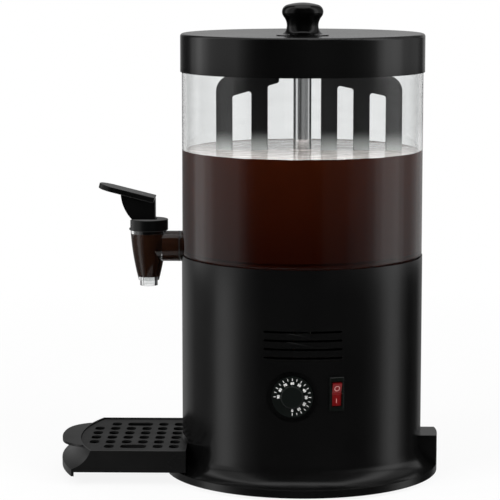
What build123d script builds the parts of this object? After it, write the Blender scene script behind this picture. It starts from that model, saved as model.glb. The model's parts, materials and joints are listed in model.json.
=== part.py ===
from build123d import *
import math
import os

# All sizes are in millimetres. +Z is up from the counter, the tap points to -X
# and the controls face -Y.

# General
cut_over = 1.0
pin_fit = 0.02
running_fit = 0.05
loose_fit = 0.4
screw_radius = 2.0
screw_hole_fit = 0.2

# Base shell: a plain drum on a flared foot
body_radius = 129.6
foot_flare = 17.9
body_top = 237.6
foot_clearance = 3.0
foot_rim = 8.0
cove_radius = 22.0
cove_rise = 21.4
shell_wall = 3.0
ledge_drop = 14.4
ledge_thickness = 4.0
ledge_width = 16.5
post_radius = 6.0
post_height = 40.0
post_bite = 1.0
post_angles = (62, 118, -118, -62)
pilot_depth = 14.0

# Rear block with the cord entry
rear_half_width = 22.4
rear_top = 42.6
gland_wall = 5.5
gland_height = 24.0
gland_body_radius = 8.0
gland_bore_radius = 4.2
gland_flange_radius = 10.0
gland_flange_thickness = 1.6
gland_flange_inset = 1.9
gland_tail = 3.0
gland_nut_thickness = 5.0
gland_nut_radius = 10.6

# Vent slots
vent_count = 4
vent_length = 81.0
vent_offset = 1.4
vent_slot = 2.2
vent_top = 173.2
vent_pitch = 9.0
vent_depth = 16.0

# Temperature dial and thermostat
dial_angle = -4.2
dial_height = 105.8
dial_recess_radius = 26.7
dial_recess_depth = 1.0
dial_skirt_radius = 21.5
dial_skirt_gap = 0.8
dial_skirt_thickness = 2.6
dial_grip_radius = 11.8
dial_grip_height = 4.5
dial_grip_round = 1.5
spindle_radius = 3.0
spindle_depth = 8.0
spindle_reach = 3.5
thermostat_size = 34.0
thermostat_depth = 24.0
thermostat_screw_spacing = 28.0
countersink_radius = 3.8
countersink_depth = 2.0
capillary_radius = 1.0
capillary_bend = 15.0
bulb_radius = 3.0
bulb_length = 50.0
bulb_gap = 0.2
bulb_inset = 22.0
clip_half_width = 6.0
clip_length = 8.0
clip_floor = 1.2

# Rocker switch
switch_angle = 16.2
switch_height = 108.5
bezel_width = 15.2
bezel_height = 35.4
bezel_thickness = 2.0
switch_body_width = 12.8
switch_body_height = 29.0
switch_body_depth = 25.0
rocker_half_width = 4.9
rocker_half_height = 12.2
rocker_tilt = 10.0
rocker_pivot_inset = 1.0
rocker_edge = 3.2
rocker_dip = 1.0
rocker_back = 4.0
rocker_back_half = 6.0
rocker_side_gap = 0.35
rocker_end_gap = 0.75
pocket_depth = 7.0
trunnion_radius = 1.5
trunnion_length = 0.9

# Bottom plate and feet
plate_lift = 5.0
plate_thickness = 2.0
plate_gap = 0.8
foot_pad_radius = 11.0
foot_pad_inset = 14.6
foot_stem_radius = 4.0
foot_stem_length = 4.0
plate_screw_head_radius = 4.0
plate_screw_head_height = 2.4

# Heating pan and water bath
pan_thickness = 1.2
pan_gap = 0.5
stud_count = 6
stud_radius = 2.0
stud_length = 9.0
stud_inset = 7.6
pan_nut_radius = 4.0
pan_nut_height = 3.2
tank_gap = 18.6
tank_depth = 48.0
tank_wall = 1.2
plug_inset = 23.0
plug_angle = 45.0
plug_head_radius = 12.0
plug_head_height = 2.6
plug_radius = 9.0
plug_length = 9.0
element_radius = 3.5
element_inset = 30.0
element_lift = 16.0
element_gap_angle = 15.0
element_bend = 10.0
element_tail = 22.0
element_nut_radius = 8.0
element_nut_height = 6.0
cutout_radius = 12.0
cutout_height = 6.0
cutout_offset = 60.0

# Drive train
column_radius = 10.2
column_wall = 1.2
column_bottom = 152.0
bush_length = 14.0
bush_flange = 1.2
hub_gap = 0.8
shaft_radius = 5.0
shaft_bottom = 133.5
shaft_flat = 3.6
output_radius = 4.0
output_depth = 38.0
coupling_radius = 9.5
coupling_lift = 2.8
coupling_length = 23.0
bracket_top = 120.0
bracket_sheet = 2.0
bracket_half_length = 48.0
bracket_half_width = 32.0
bracket_flange = 14.0
bracket_screw_x = 55.0
bracket_screw_y = 20.0
gearbox_half_length = 35.0
gearbox_half_width = 28.0
gearbox_height = 45.0
gearbox_screw_x = 25.0
gearbox_screw_y = 20.0
gearbox_screw_depth = 10.0
small_head_radius = 3.8
small_head_height = 2.2
motor_radius = 27.0
motor_length = 43.0
motor_boss_radius = 10.0
motor_boss_length = 4.0
terminal_inset = 42.6
terminal_length = 18.0
terminal_half_width = 20.0
terminal_height = 16.0
terminal_count = 3
terminal_screw_radius = 2.6
terminal_screw_depth = 3.0

# Stirrer
hub_drop = 30.9
hub_height = 16.0
hub_radius = 16.0
socket_depth = 13.0
bar_drop = 6.0
stirrer_thickness = 8.0
stirrer_edge = 1.5
leg_width = 17.6
leg_clearance = 6.5
leg_round = 6.0
gap_round = 3.0
sweep_gap = 16.0
left_leg_shares = (0.468, 0.854)
left_inner = 24.9
left_slope = 0.288
right_leg_shares = (0.292, 0.645, 1.0)
right_slope = 0.219
arm_root_depth = 8.6
arm_root_radius = 28.0
arm_tip_round = 17.0
riser_width = 24.0
riser_round = 4.0

# Jar and lid
jar_inset = 0.6
jar_wall = 3.5
jar_height = 229.3
jar_heel = 1.8
spigot_gap = 0.3
seam_gap = 0.4
gasket_thickness = 1.5
gasket_margin = 2.0
boss_inset = 1.6
boss_reach = 2.2
lid_overlap = 32.6
lid_gap = 0.4
lid_skirt = 1.3
lid_seat = 5.0
lid_seat_width = 5.0
lid_plate = 3.0
lid_round = 3.0
lid_dish = 2.3
lid_pad_radius = 30.0
knob_flange_radius = 28.1
knob_flange_edge = 0.8
knob_flare_radius = 22.0
knob_flare_height = 1.5
knob_neck = (16.9, 10.0)
knob_waist = (20.34, 19.8)
knob_crown = (16.44, 32.45)
knob_height = 34.8
knob_screw_radius = 2.5
knob_screw_length = 18.0
knob_screw_head_radius = 4.6
knob_screw_head_height = 2.4

# Tap, drawn about its own upright barrel with the lever side at +X
tap_stand_off = 36.6
tap_rise = 8.0
barrel_top = 17.5
barrel_top_radius = 19.6
barrel_mid = -10.6
barrel_mid_radius = 16.6
barrel_bottom = -37.0
barrel_bottom_radius = 11.0
barrel_wall = 2.8
nozzle_radius = 9.6
nozzle_bottom = -42.8
nozzle_bore = 6.5
seat_height = -33.0
seat_radius = 9.2
tube_radius = 16.4
tube_bore = 13.7
tube_shoulder = 2.0
shank_radius = 10.5
shank_bore = 7.8
shank_fit = 0.3
shank_spare = 1.5
tap_gasket_thickness = 1.5
tap_nut_radius = 15.0
tap_nut_thickness = 7.0
notch_gap = 0.5
cap_radius = 21.0
cap_height = 11.9
cap_floor = 1.8
cap_round = 0.8
cap_slot_half = 8.4
cap_slot_end = 8.9
cap_spigot_radius = 16.1
cap_spigot_wall = 2.6
cap_spigot_length = 5.6
stem_radius = 4.5
stem_top = 27.9
stem_hole_gap = 0.3
stem_seal_gap = 0.1
stem_seal_height = 2.0
piston_radius = 8.0
piston_height = 4.0
seal_radius = 8.6
seal_height = 5.0
spring_wire = 0.6
spring_radius = 6.4
spring_turns = 9
spring_seat = 0.05
pivot_offset = 9.0
pivot_height = 23.3
pivot_radius = 2.0
pivot_half_length = 17.0
link_radius = 1.6
link_half_length = 7.4
link_slot_half = 3.0
link_slot_gap = 0.3
lever_half_width = 8.0
lever_eye = 3.6
lever_fork_half = 4.9
lever_fork_top = 32.0
lever_fork_low = 27.0
lever_fork_reach = 5.0
lever_heel = 7.5
lever_chin = 28.5
lever_plate_height = 53.6
lever_plate_angle = 14.1
lever_plate_length = 61.8
lever_plate_half_width = 16.0
lever_plate_thickness = 5.6
lever_plate_edge = 0.8
lever_back_top = (29.5, 57.0)
lever_back_mid = (25.3, 40.6)
lever_back_low = (17.6, 29.4)

# Drip tray
tray_seat_inset = 7.8
tray_seat_bottom = 13.6
tray_headroom = 5.1
tray_lift = 0.9
tray_top = 37.9
tray_half_width = 84.3
tray_length = 120.0
tray_front_radius = 200.6
tray_wall = 1.6
tray_ledge = 1.8
tray_floor = 2.0
tray_gap = 0.5
flare_reach = 18.8
flare_mid_reach = 6.6
flare_mid_height = 25.8
flare_bottom = 17.7
flare_foot = 10.1
flare_sheet = 2.5
tongue_root_half = 56.0
tongue_root_depth = 14.4
tongue_curve = ((26.0, 56.0), (13.5, 48.0), (5.5, 36.0), (1.2, 18.0))
tongue_thickness = 2.7
hook_offset = 25.0
hook_half_width = 8.0
hook_lift = 5.0
hook_thickness = 3.0
hook_reach = 10.0
grid_thickness = 2.0
grid_drop = 1.4
grid_gap = 0.4
land_gap = 0.4
grid_inset = 18.5
grid_rear_margin = 14.5
grid_side_margin = 28.4
grid_row_count = 6
grid_columns = 6
grid_hole_length = 16.2
grid_hole_width = 10.5

# Levels and radii that follow from the sizes above
foot_radius = body_radius + foot_flare
rim_top = foot_clearance + foot_rim
cove_top = rim_top + cove_rise
cove_centre = body_radius + cove_radius
body_inner = body_radius - shell_wall
ledge_top = body_top - ledge_drop
ledge_bottom = ledge_top - ledge_thickness
post_circle = body_inner - post_radius + post_bite
foot_pad_circle = body_inner - foot_pad_inset
terminal_x = body_inner - terminal_inset
plate_bottom = foot_clearance + plate_lift
plate_top = plate_bottom + plate_thickness
inner_cove = cove_radius + shell_wall
plate_radius = cove_centre - math.sqrt(inner_cove**2 - (cove_top - plate_top)**2) - plate_gap
gland_wall_inside = foot_radius - gland_wall
gland_seat = foot_radius - gland_flange_inset

dial_floor = math.sqrt(body_radius**2 - dial_recess_radius**2) - dial_recess_depth
dial_back = dial_floor - shell_wall
dial_face = dial_floor + dial_skirt_gap + dial_skirt_thickness

pan_bottom = ledge_top
pan_top = pan_bottom + pan_thickness
pan_radius = body_inner - pan_gap
stud_circle = body_inner - stud_inset
tank_radius = body_inner - tank_gap
plug_circle = tank_radius - plug_inset
element_circle = tank_radius - element_inset
bulb_start = tank_radius - bulb_inset
tank_bottom = pan_bottom - tank_depth
element_height = tank_bottom + tank_wall + element_lift

jar_bottom = pan_top + gasket_thickness
jar_shoulder = body_top + seam_gap
jar_top = body_top + jar_height
jar_radius = body_radius - jar_inset
jar_inner = jar_radius - jar_wall
spigot_radius = body_inner - spigot_gap
spigot_inner = spigot_radius - jar_wall
boss_face = jar_radius + boss_reach
boss_back = spigot_inner - boss_inset
lid_inner = jar_radius + lid_gap
lid_radius = lid_inner + lid_skirt
lid_bottom = jar_top - lid_overlap
lid_under = jar_top + lid_seat
lid_top = lid_under + lid_plate
knob_base = lid_top - lid_dish
knob_under = lid_under - lid_dish

leg_circle = spigot_inner - sweep_gap - leg_width / 2
left_legs = [share * leg_circle for share in left_leg_shares]
right_legs = [share * leg_circle for share in right_leg_shares]
right_inner = right_legs[0] - leg_width / 2
hub_bottom = jar_top - hub_drop
hub_top = hub_bottom + hub_height
column_top = hub_bottom - hub_gap - bush_flange
socket_roof = hub_bottom + socket_depth
bar_top = hub_bottom - bar_drop
leg_bottom = pan_top + leg_clearance
gearbox_top = bracket_top - bracket_sheet
gearbox_bottom = gearbox_top - gearbox_height
coupling_bottom = bracket_top + coupling_lift

tap_height = body_top + tap_rise
tap_reach = jar_radius + tap_stand_off
tube_end = tap_reach - boss_face - tap_gasket_thickness
nut_face = tap_reach - boss_back
nut_end = nut_face + tap_nut_thickness
shank_end = nut_end + shank_spare
cap_top = barrel_top + cap_height
seal_top = seat_height + seal_height
piston_top = seal_top + piston_height
spring_top = barrel_top - stem_seal_height

tray_seat = body_radius - tray_seat_inset
tray_reach = tray_seat + tray_length
tray_bottom = tray_seat_bottom + tray_lift
tray_seat_top = tray_top + tray_headroom
hook_height = tray_bottom + hook_lift
tray_centre = tray_front_radius - tray_reach
tray_back = -tray_seat - tray_gap
grid_top = tray_top - grid_drop
grid_bottom = grid_top - grid_thickness
grid_first = -tray_reach + grid_inset
grid_pitch = (tray_length - grid_inset - grid_rear_margin) / (grid_columns - 1)
grid_edge_row = tray_half_width - grid_side_margin
grid_row_pitch = 2 * grid_edge_row / (grid_row_count - 1)
land_radius = body_radius + land_gap

on_floor = (Align.CENTER, Align.CENTER, Align.MIN)


def disc(radius, z0, z1):
    return Pos(0, 0, z0) * Cylinder(radius, z1 - z0, align=on_floor)


def ring(outer, inner, z0, z1):
    return disc(outer, z0, z1) - disc(inner, z0 - cut_over, z1 + cut_over)


def block(x0, x1, y0, y1, z0, z1):
    centre = Pos((x0 + x1) / 2, (y0 + y1) / 2, (z0 + z1) / 2)
    return centre * Box(x1 - x0, y1 - y0, z1 - z0)


def rod_x(radius, x0, x1, z):
    return Pos(x0, 0, z) * Rot(0, 90, 0) * Cylinder(radius, x1 - x0, align=on_floor)


def rod_y(radius, y0, y1, x, z):
    return Pos(x, y0, z) * Rot(-90, 0, 0) * Cylinder(radius, y1 - y0, align=on_floor)


def hex_prism(radius, height):
    return extrude(RegularPolygon(radius, 6), height)


def side_face(*pieces):
    edges = []
    for piece in pieces:
        edges += piece.edges()
    return Plane.XZ * make_face(edges)


def turned(*pieces):
    return revolve(side_face(*pieces), Axis.Z)


def polar(radius, angle):
    turn = math.radians(angle)
    return radius * math.cos(turn), radius * math.sin(turn)


def grouped(shapes):
    return Compound(children=list(shapes))


def place_tap(shape):
    return Pos(-tap_reach, 0, tap_height) * Rot(0, 0, 180) * shape


def drum(grow, bottom, top):
    outer = foot_radius + grow
    wall = body_radius + grow
    bend = cove_radius - grow
    swing = math.acos((cove_centre - outer) / bend)
    start_height = cove_top - bend * math.sin(swing)
    middle = (cove_centre - bend * math.cos(swing / 2), cove_top - bend * math.sin(swing / 2))
    return turned(
        Polyline((0, bottom), (outer, bottom), (outer, start_height)),
        ThreePointArc((outer, start_height), middle, (wall, cove_top)),
        Polyline((wall, cove_top), (wall, top), (0, top), (0, bottom)),
    )


# Base


def dial_cup():
    cup = rod_y(dial_recess_radius + shell_wall, -body_radius, -dial_back, 0, dial_height)
    return cup & disc(body_radius - shell_wall / 4, dial_height - body_radius, dial_height + body_radius)


def dial_cuts():
    cuts = rod_y(dial_recess_radius, -body_radius - cut_over, -dial_floor, 0, dial_height)
    cuts += rod_y(spindle_radius + loose_fit, -body_radius, -dial_back + cut_over, 0, dial_height)
    for side in (-1, 1):
        x = side * thermostat_screw_spacing / 2
        cuts += rod_y(screw_radius + pin_fit, -dial_floor, -dial_back + cut_over, x, dial_height)
        sink = Cone(countersink_radius + pin_fit, screw_radius + pin_fit, countersink_depth, align=on_floor)
        cuts += Pos(x, -dial_floor, dial_height) * Rot(-90, 0, 0) * sink
    return cuts


def vent_cuts():
    slot = Plane.XZ * SlotOverall(vent_length, vent_slot)
    first = Pos(vent_offset, -body_radius + vent_depth, vent_top) * extrude(slot, vent_depth + cut_over)
    return [Pos(0, 0, -vent_pitch * row) * first for row in range(vent_count)]


def rear_block():
    rear = block(0, foot_radius + cut_over, -rear_half_width, rear_half_width, foot_clearance, rear_top)
    rear &= disc(foot_radius, foot_clearance, rear_top)
    rear -= rod_x(gland_flange_radius + loose_fit, gland_seat, foot_radius + cut_over, gland_height)
    hole_start = gland_wall_inside - cut_over
    return rear - rod_x(gland_body_radius + screw_hole_fit, hole_start, foot_radius, gland_height)


def rear_room():
    room = block(
        body_inner / 2,
        foot_radius,
        -rear_half_width + shell_wall,
        rear_half_width - shell_wall,
        foot_clearance - cut_over,
        rear_top - shell_wall,
    )
    return room & disc(gland_wall_inside, foot_clearance - cut_over, rear_top)


def tray_pocket(grow):
    half = tray_half_width + tray_gap + grow
    return block(
        -foot_radius - cut_over,
        -tray_seat + grow,
        -half,
        half,
        tray_seat_bottom - grow,
        tray_seat_top + grow,
    )


def base_shell():
    shell = drum(0, foot_clearance, body_top) + rear_block()
    shell -= drum(-shell_wall, foot_clearance - cut_over, body_top + cut_over)
    shell -= rear_room()
    shell += drum(0, foot_clearance, body_top) & tray_pocket(shell_wall)
    shell -= tray_pocket(0)
    ledge_outer = body_radius - shell_wall / 2
    shell += ring(ledge_outer, body_inner - ledge_width, ledge_bottom, ledge_top)
    shell += Rot(0, 0, dial_angle) * dial_cup()
    for angle in post_angles:
        x, y = polar(post_circle, angle)
        shell += Pos(x, y) * disc(post_radius, plate_top, plate_top + post_height)
        shell -= Pos(x, y) * disc(screw_radius + running_fit, plate_top - cut_over, plate_top + pilot_depth)
    for number in range(stud_count):
        x, y = polar(stud_circle, 360 * (number + 0.5) / stud_count)
        shell -= Pos(x, y) * disc(stud_radius + screw_hole_fit, ledge_bottom - cut_over, ledge_top + cut_over)
    shell -= Rot(0, 0, dial_angle) * dial_cuts()
    for slot in vent_cuts():
        shell -= slot
    shell -= Rot(0, 0, switch_angle) * block(
        -switch_body_width / 2 - loose_fit,
        switch_body_width / 2 + loose_fit,
        -body_radius - cut_over,
        -body_inner + shell_wall,
        switch_height - switch_body_height / 2 - loose_fit,
        switch_height + switch_body_height / 2 + loose_fit,
    )
    shell -= rod_x(tube_radius + notch_gap, -boss_face, -boss_back, tap_height)
    for side in (-1, 1):
        shell -= block(
            -tray_seat - cut_over,
            -tray_seat + shell_wall + cut_over,
            side * hook_offset - hook_half_width - loose_fit,
            side * hook_offset + hook_half_width + loose_fit,
            hook_height - loose_fit,
            hook_height + hook_thickness + loose_fit,
        )
    return shell


def bottom_plate():
    plate = disc(plate_radius, plate_bottom, plate_top)
    plate += block(
        0,
        gland_wall_inside - 3 * plate_gap,
        -rear_half_width + shell_wall + plate_gap,
        rear_half_width - shell_wall - plate_gap,
        plate_bottom,
        plate_top,
    )
    holes = []
    for angle in post_angles:
        holes.append((polar(post_circle, angle), screw_radius + screw_hole_fit))
    for number in range(4):
        holes.append((polar(foot_pad_circle, 45 + 90 * number), foot_stem_radius + running_fit))
    for x in (-bracket_screw_x, bracket_screw_x):
        for y in (-bracket_screw_y, bracket_screw_y):
            holes.append(((x, y), screw_radius + running_fit))
    for (x, y), radius in holes:
        plate -= Pos(x, y) * disc(radius, plate_bottom - cut_over, plate_top + cut_over)
    return plate


def rubber_feet():
    stem_top_level = plate_bottom + foot_stem_length
    foot = disc(foot_pad_radius, 0, plate_bottom) + disc(foot_stem_radius, 0, stem_top_level)
    feet = []
    for number in range(4):
        x, y = polar(foot_pad_circle, 45 + 90 * number)
        feet.append(Pos(x, y) * foot)
    return grouped(feet)


def plate_screws():
    screw = disc(plate_screw_head_radius, plate_bottom - plate_screw_head_height, plate_bottom)
    shank_low = plate_bottom - plate_screw_head_height / 2
    screw += disc(screw_radius, shank_low, plate_top + pilot_depth - cut_over)
    screws = []
    for angle in post_angles:
        x, y = polar(post_circle, angle)
        screws.append(Pos(x, y) * screw)
    return grouped(screws)


def cord_gland():
    tail = gland_wall_inside - gland_nut_thickness - gland_tail
    gland = rod_x(gland_flange_radius, gland_seat, gland_seat + gland_flange_thickness, gland_height)
    gland += rod_x(gland_body_radius, tail, gland_seat + gland_flange_thickness / 2, gland_height)
    return gland - rod_x(gland_bore_radius, tail - cut_over, foot_radius + cut_over, gland_height)


def gland_nut():
    flat_inside = math.sqrt(gland_wall_inside**2 - gland_nut_radius**2)
    start = flat_inside - gland_nut_thickness
    nut = Pos(start, 0, gland_height) * Rot(0, 90, 0) * hex_prism(gland_nut_radius, gland_nut_thickness)
    return nut - rod_x(gland_body_radius + running_fit, start - cut_over, foot_radius, gland_height)


def terminal_block():
    top = plate_top + terminal_height
    strip = block(
        terminal_x,
        terminal_x + terminal_length,
        -terminal_half_width,
        terminal_half_width,
        plate_top,
        top,
    )
    step = 2 * terminal_half_width / terminal_count
    for number in range(terminal_count):
        y = -terminal_half_width + step * (number + 0.5)
        x = terminal_x + terminal_length / 2
        strip -= Pos(x, y) * disc(terminal_screw_radius, top - terminal_screw_depth, top + cut_over)
    return strip


# Heating


def heating_pan():
    pan = disc(pan_radius, pan_bottom, pan_top)
    pan -= disc(column_radius + running_fit, pan_bottom - cut_over, pan_top + cut_over)
    x, y = polar(plug_circle, plug_angle)
    return pan - Pos(x, y) * disc(plug_radius + running_fit, pan_bottom - cut_over, pan_top + cut_over)


def pan_studs():
    studs = []
    for number in range(stud_count):
        x, y = polar(stud_circle, 360 * (number + 0.5) / stud_count)
        studs.append(Pos(x, y) * disc(stud_radius, pan_bottom - stud_length, pan_bottom))
    return grouped(studs)


def pan_nuts():
    level = ledge_bottom - pan_nut_height
    nut = Pos(0, 0, level) * hex_prism(pan_nut_radius, pan_nut_height)
    nut -= disc(stud_radius + running_fit, level - cut_over, ledge_bottom + cut_over)
    nuts = []
    for number in range(stud_count):
        x, y = polar(stud_circle, 360 * (number + 0.5) / stud_count)
        nuts.append(Pos(x, y) * nut)
    return grouped(nuts)


def element_feet():
    spots = []
    for side in (-1, 1):
        angle = 90 + side * element_gap_angle
        x, y = polar(element_circle, angle)
        turn = math.radians(angle)
        step = side * element_bend
        spots.append((x + step * math.sin(turn), y - step * math.cos(turn)))
    return spots


def bath_tank():
    tank = disc(tank_radius, tank_bottom, pan_bottom)
    tank -= disc(tank_radius - tank_wall, tank_bottom + tank_wall, pan_bottom + cut_over)
    tank -= disc(column_radius + running_fit, tank_bottom - cut_over, pan_bottom)
    for x, y in element_feet():
        tank -= Pos(x, y) * disc(element_radius + running_fit, tank_bottom - cut_over, element_height)
    return tank


def bath_plug():
    plug = disc(plug_head_radius, pan_top, pan_top + plug_head_height)
    plug += disc(plug_radius, pan_bottom - plug_length, pan_top + plug_head_height / 2)
    slot = block(
        -plug_head_radius,
        plug_head_radius,
        -plug_head_height / 2,
        plug_head_height / 2,
        pan_top + plug_head_height / 2,
        pan_top + plug_head_height + cut_over,
    )
    x, y = polar(plug_circle, plug_angle)
    return Pos(x, y) * (plug - slot)


def element_end(side):
    angle = 90 + side * element_gap_angle
    turn = math.radians(angle)
    x, y = polar(element_circle, angle)
    along = (side * math.sin(turn), -side * math.cos(turn))
    half = element_bend * math.sqrt(0.5)
    start = (x, y, element_height)
    middle = (x + along[0] * half, y + along[1] * half, element_height - element_bend + half)
    corner = (
        x + along[0] * element_bend,
        y + along[1] * element_bend,
        element_height - element_bend,
    )
    tip = (corner[0], corner[1], tank_bottom - element_tail)
    return start, middle, corner, tip


def heating_element():
    first = element_end(1)
    last = element_end(-1)
    path = Wire(
        [
            Line(first[3], first[2]).edge(),
            ThreePointArc(first[2], first[1], first[0]).edge(),
            ThreePointArc(first[0], (0, -element_circle, element_height), last[0]).edge(),
            ThreePointArc(last[0], last[1], last[2]).edge(),
            Line(last[2], last[3]).edge(),
        ]
    )
    return sweep(Pos(*first[3]) * Circle(element_radius), path=path)


def element_glands():
    level = tank_bottom - element_nut_height
    nut = Pos(0, 0, level) * hex_prism(element_nut_radius, element_nut_height)
    nut -= disc(element_radius + running_fit, level - cut_over, tank_bottom + cut_over)
    return grouped([Pos(x, y) * nut for x, y in element_feet()])


def thermal_cutout():
    body = disc(cutout_radius, tank_bottom - cutout_height, tank_bottom)
    for y in (-cutout_radius / 2, cutout_radius / 2):
        body += block(
            -cutout_radius / 4,
            cutout_radius / 4,
            y - cut_over / 2,
            y + cut_over / 2,
            tank_bottom - 2 * cutout_height,
            tank_bottom - cutout_height / 2,
        )
    return Pos(-cutout_offset, 0) * body


def thermostat():
    half = thermostat_size / 2
    front = -dial_back
    bore_end = front + spindle_depth
    body = block(-half, half, front, front + thermostat_depth, dial_height - half, dial_height + half)
    body -= rod_y(spindle_radius + running_fit, front - cut_over, bore_end, 0, dial_height)
    for side in (-1, 1):
        x = side * thermostat_screw_spacing / 2
        body -= rod_y(screw_radius + pin_fit, front - cut_over, bore_end, x, dial_height)
    return Rot(0, 0, dial_angle) * body


def thermostat_screws():
    screw = Cone(countersink_radius, screw_radius, countersink_depth, align=on_floor)
    screw += disc(screw_radius, countersink_depth / 2, shell_wall + spindle_depth - cut_over)
    screw = Pos(0, -dial_floor, dial_height) * Rot(-90, 0, 0) * screw
    half = thermostat_screw_spacing / 2
    return grouped([Rot(0, 0, dial_angle) * Pos(x, 0) * screw for x in (-half, half)])


def thermostat_bulb():
    y = -dial_back + thermostat_depth / 2
    level = tank_bottom - bulb_gap - bulb_radius
    start = (0, y, dial_height + thermostat_size / 2)
    path = FilletPolyline(start, (0, y, level), (0, -bulb_start + cut_over, level), radius=capillary_bend)
    tube = sweep(Pos(*start) * Circle(capillary_radius), path=path)
    bulb = rod_y(bulb_radius, -bulb_start, -bulb_start + bulb_length, 0, level)
    return Rot(0, 0, dial_angle) * (tube + bulb)


def bulb_clip():
    level = tank_bottom - bulb_gap - bulb_radius
    middle = -bulb_start + bulb_length / 2
    clip = block(
        -clip_half_width,
        clip_half_width,
        middle - clip_length / 2,
        middle + clip_length / 2,
        level - bulb_radius - clip_floor,
        tank_bottom,
    )
    clip -= rod_y(bulb_radius + running_fit, middle - clip_length, middle + clip_length, 0, level)
    return Rot(0, 0, dial_angle) * clip


def dial_knob():
    back = -dial_floor - dial_skirt_gap
    skirt = rod_y(dial_skirt_radius, -dial_face, back, 0, dial_height)
    grip = rod_y(dial_grip_radius, -dial_face - dial_grip_height, back, 0, dial_height)
    front = grip.faces().sort_by(Axis.Y)[0]
    knob = skirt + fillet(front.edges(), dial_grip_round)
    reach = -dial_face - spindle_reach
    knob -= rod_y(spindle_radius + pin_fit, reach, back + cut_over, 0, dial_height)
    return Rot(0, 0, dial_angle) * knob


def dial_spindle():
    inner = -dial_back + spindle_depth - cut_over
    spindle = rod_y(spindle_radius, -dial_face - spindle_reach, inner, 0, dial_height)
    return Rot(0, 0, dial_angle) * spindle


# Switch


def switch_housing():
    half = bezel_height / 2
    body_half = switch_body_height / 2
    housing = block(
        -bezel_width / 2,
        bezel_width / 2,
        -body_radius - bezel_thickness,
        -body_radius,
        switch_height - half,
        switch_height + half,
    )
    housing = chamfer(housing.faces().sort_by(Axis.Y)[0].edges(), bezel_thickness / 3)
    housing += block(
        -switch_body_width / 2,
        switch_body_width / 2,
        -body_radius - bezel_thickness / 2,
        -body_radius + switch_body_depth,
        switch_height - body_half,
        switch_height + body_half,
    )
    room_half = rocker_half_height + rocker_end_gap
    room_side = rocker_half_width + rocker_side_gap
    housing -= block(
        -room_side,
        room_side,
        -body_radius - bezel_thickness - cut_over,
        -body_radius + pocket_depth,
        switch_height - room_half,
        switch_height + room_half,
    )
    pivot = Pos(0, -body_radius + rocker_pivot_inset, 0)
    reach = rocker_half_width + trunnion_length + pin_fit
    housing -= pivot * rod_x(trunnion_radius + running_fit, -reach, reach, switch_height)
    return Rot(0, 0, switch_angle) * housing


def switch_rocker():
    outline = Polyline(
        (-rocker_edge, rocker_half_height),
        (-rocker_dip, 0),
        (-rocker_edge, -rocker_half_height),
        (rocker_dip, -rocker_half_height),
        (rocker_back, -rocker_back_half),
        (rocker_back, rocker_back_half),
        (rocker_dip, rocker_half_height),
        close=True,
    )
    paddle = extrude(Plane.YZ * make_face(outline.edges()), rocker_half_width, both=True)
    reach = rocker_half_width + trunnion_length
    paddle += rod_x(trunnion_radius, -reach, reach, 0)
    spot = Pos(0, -body_radius + rocker_pivot_inset, switch_height)
    return Rot(0, 0, switch_angle) * spot * Rot(rocker_tilt, 0, 0) * paddle


# Drive


def motor():
    body = disc(motor_radius, gearbox_bottom - motor_length, gearbox_bottom)
    low = gearbox_bottom - motor_length
    return body + disc(motor_boss_radius, low - motor_boss_length, low + cut_over)


def gearbox_spots():
    return [
        (x, y)
        for x in (-gearbox_screw_x, gearbox_screw_x)
        for y in (-gearbox_screw_y, gearbox_screw_y)
    ]


def bracket_spots():
    return [
        (x, y)
        for x in (-bracket_screw_x, bracket_screw_x)
        for y in (-bracket_screw_y, bracket_screw_y)
    ]


def gearbox():
    body = block(
        -gearbox_half_length,
        gearbox_half_length,
        -gearbox_half_width,
        gearbox_half_width,
        gearbox_bottom,
        gearbox_top,
    )
    body -= disc(output_radius + running_fit, gearbox_top - output_depth, gearbox_top + cut_over)
    for x, y in gearbox_spots():
        body -= Pos(x, y) * disc(
            screw_radius + running_fit, gearbox_top - gearbox_screw_depth - cut_over, gearbox_top + cut_over
        )
    return body


def gearbox_screws():
    screw = disc(small_head_radius, bracket_top, bracket_top + small_head_height)
    screw += disc(screw_radius, gearbox_top - gearbox_screw_depth, bracket_top + small_head_height / 2)
    return grouped([Pos(x, y) * screw for x, y in gearbox_spots()])


def motor_bracket():
    half = bracket_half_length
    wide = bracket_half_width
    bracket = block(-half, half, -wide, wide, gearbox_top, bracket_top)
    for side in (-1, 1):
        inner = side * (half - bracket_sheet)
        outer = side * half
        flange = side * (half + bracket_flange)
        bracket += block(min(inner, outer), max(inner, outer), -wide, wide, plate_top, bracket_top)
        foot_top = plate_top + bracket_sheet
        bracket += block(min(inner, flange), max(inner, flange), -wide, wide, plate_top, foot_top)
    bracket -= disc(coupling_radius, gearbox_top - cut_over, bracket_top + cut_over)
    for x, y in gearbox_spots():
        hole = disc(screw_radius + screw_hole_fit, gearbox_top - cut_over, bracket_top + cut_over)
        bracket -= Pos(x, y) * hole
    for x, y in bracket_spots():
        bracket -= Pos(x, y) * disc(
            screw_radius + screw_hole_fit, plate_top - cut_over, plate_top + bracket_sheet + cut_over
        )
    return bracket


def bracket_screws():
    seat = plate_top + bracket_sheet
    screw = disc(small_head_radius, seat, seat + small_head_height)
    screw += disc(screw_radius, plate_bottom, seat + small_head_height / 2)
    return grouped([Pos(x, y) * screw for x, y in bracket_spots()])


def output_shaft():
    return disc(output_radius, gearbox_top - output_depth + cut_over, shaft_bottom - cut_over / 2)


def shaft_coupling():
    top = coupling_bottom + coupling_length
    sleeve = disc(coupling_radius, coupling_bottom, top)
    sleeve -= disc(output_radius + pin_fit, coupling_bottom - cut_over, shaft_bottom)
    return sleeve - disc(shaft_radius + pin_fit, shaft_bottom, top + cut_over)


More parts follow.
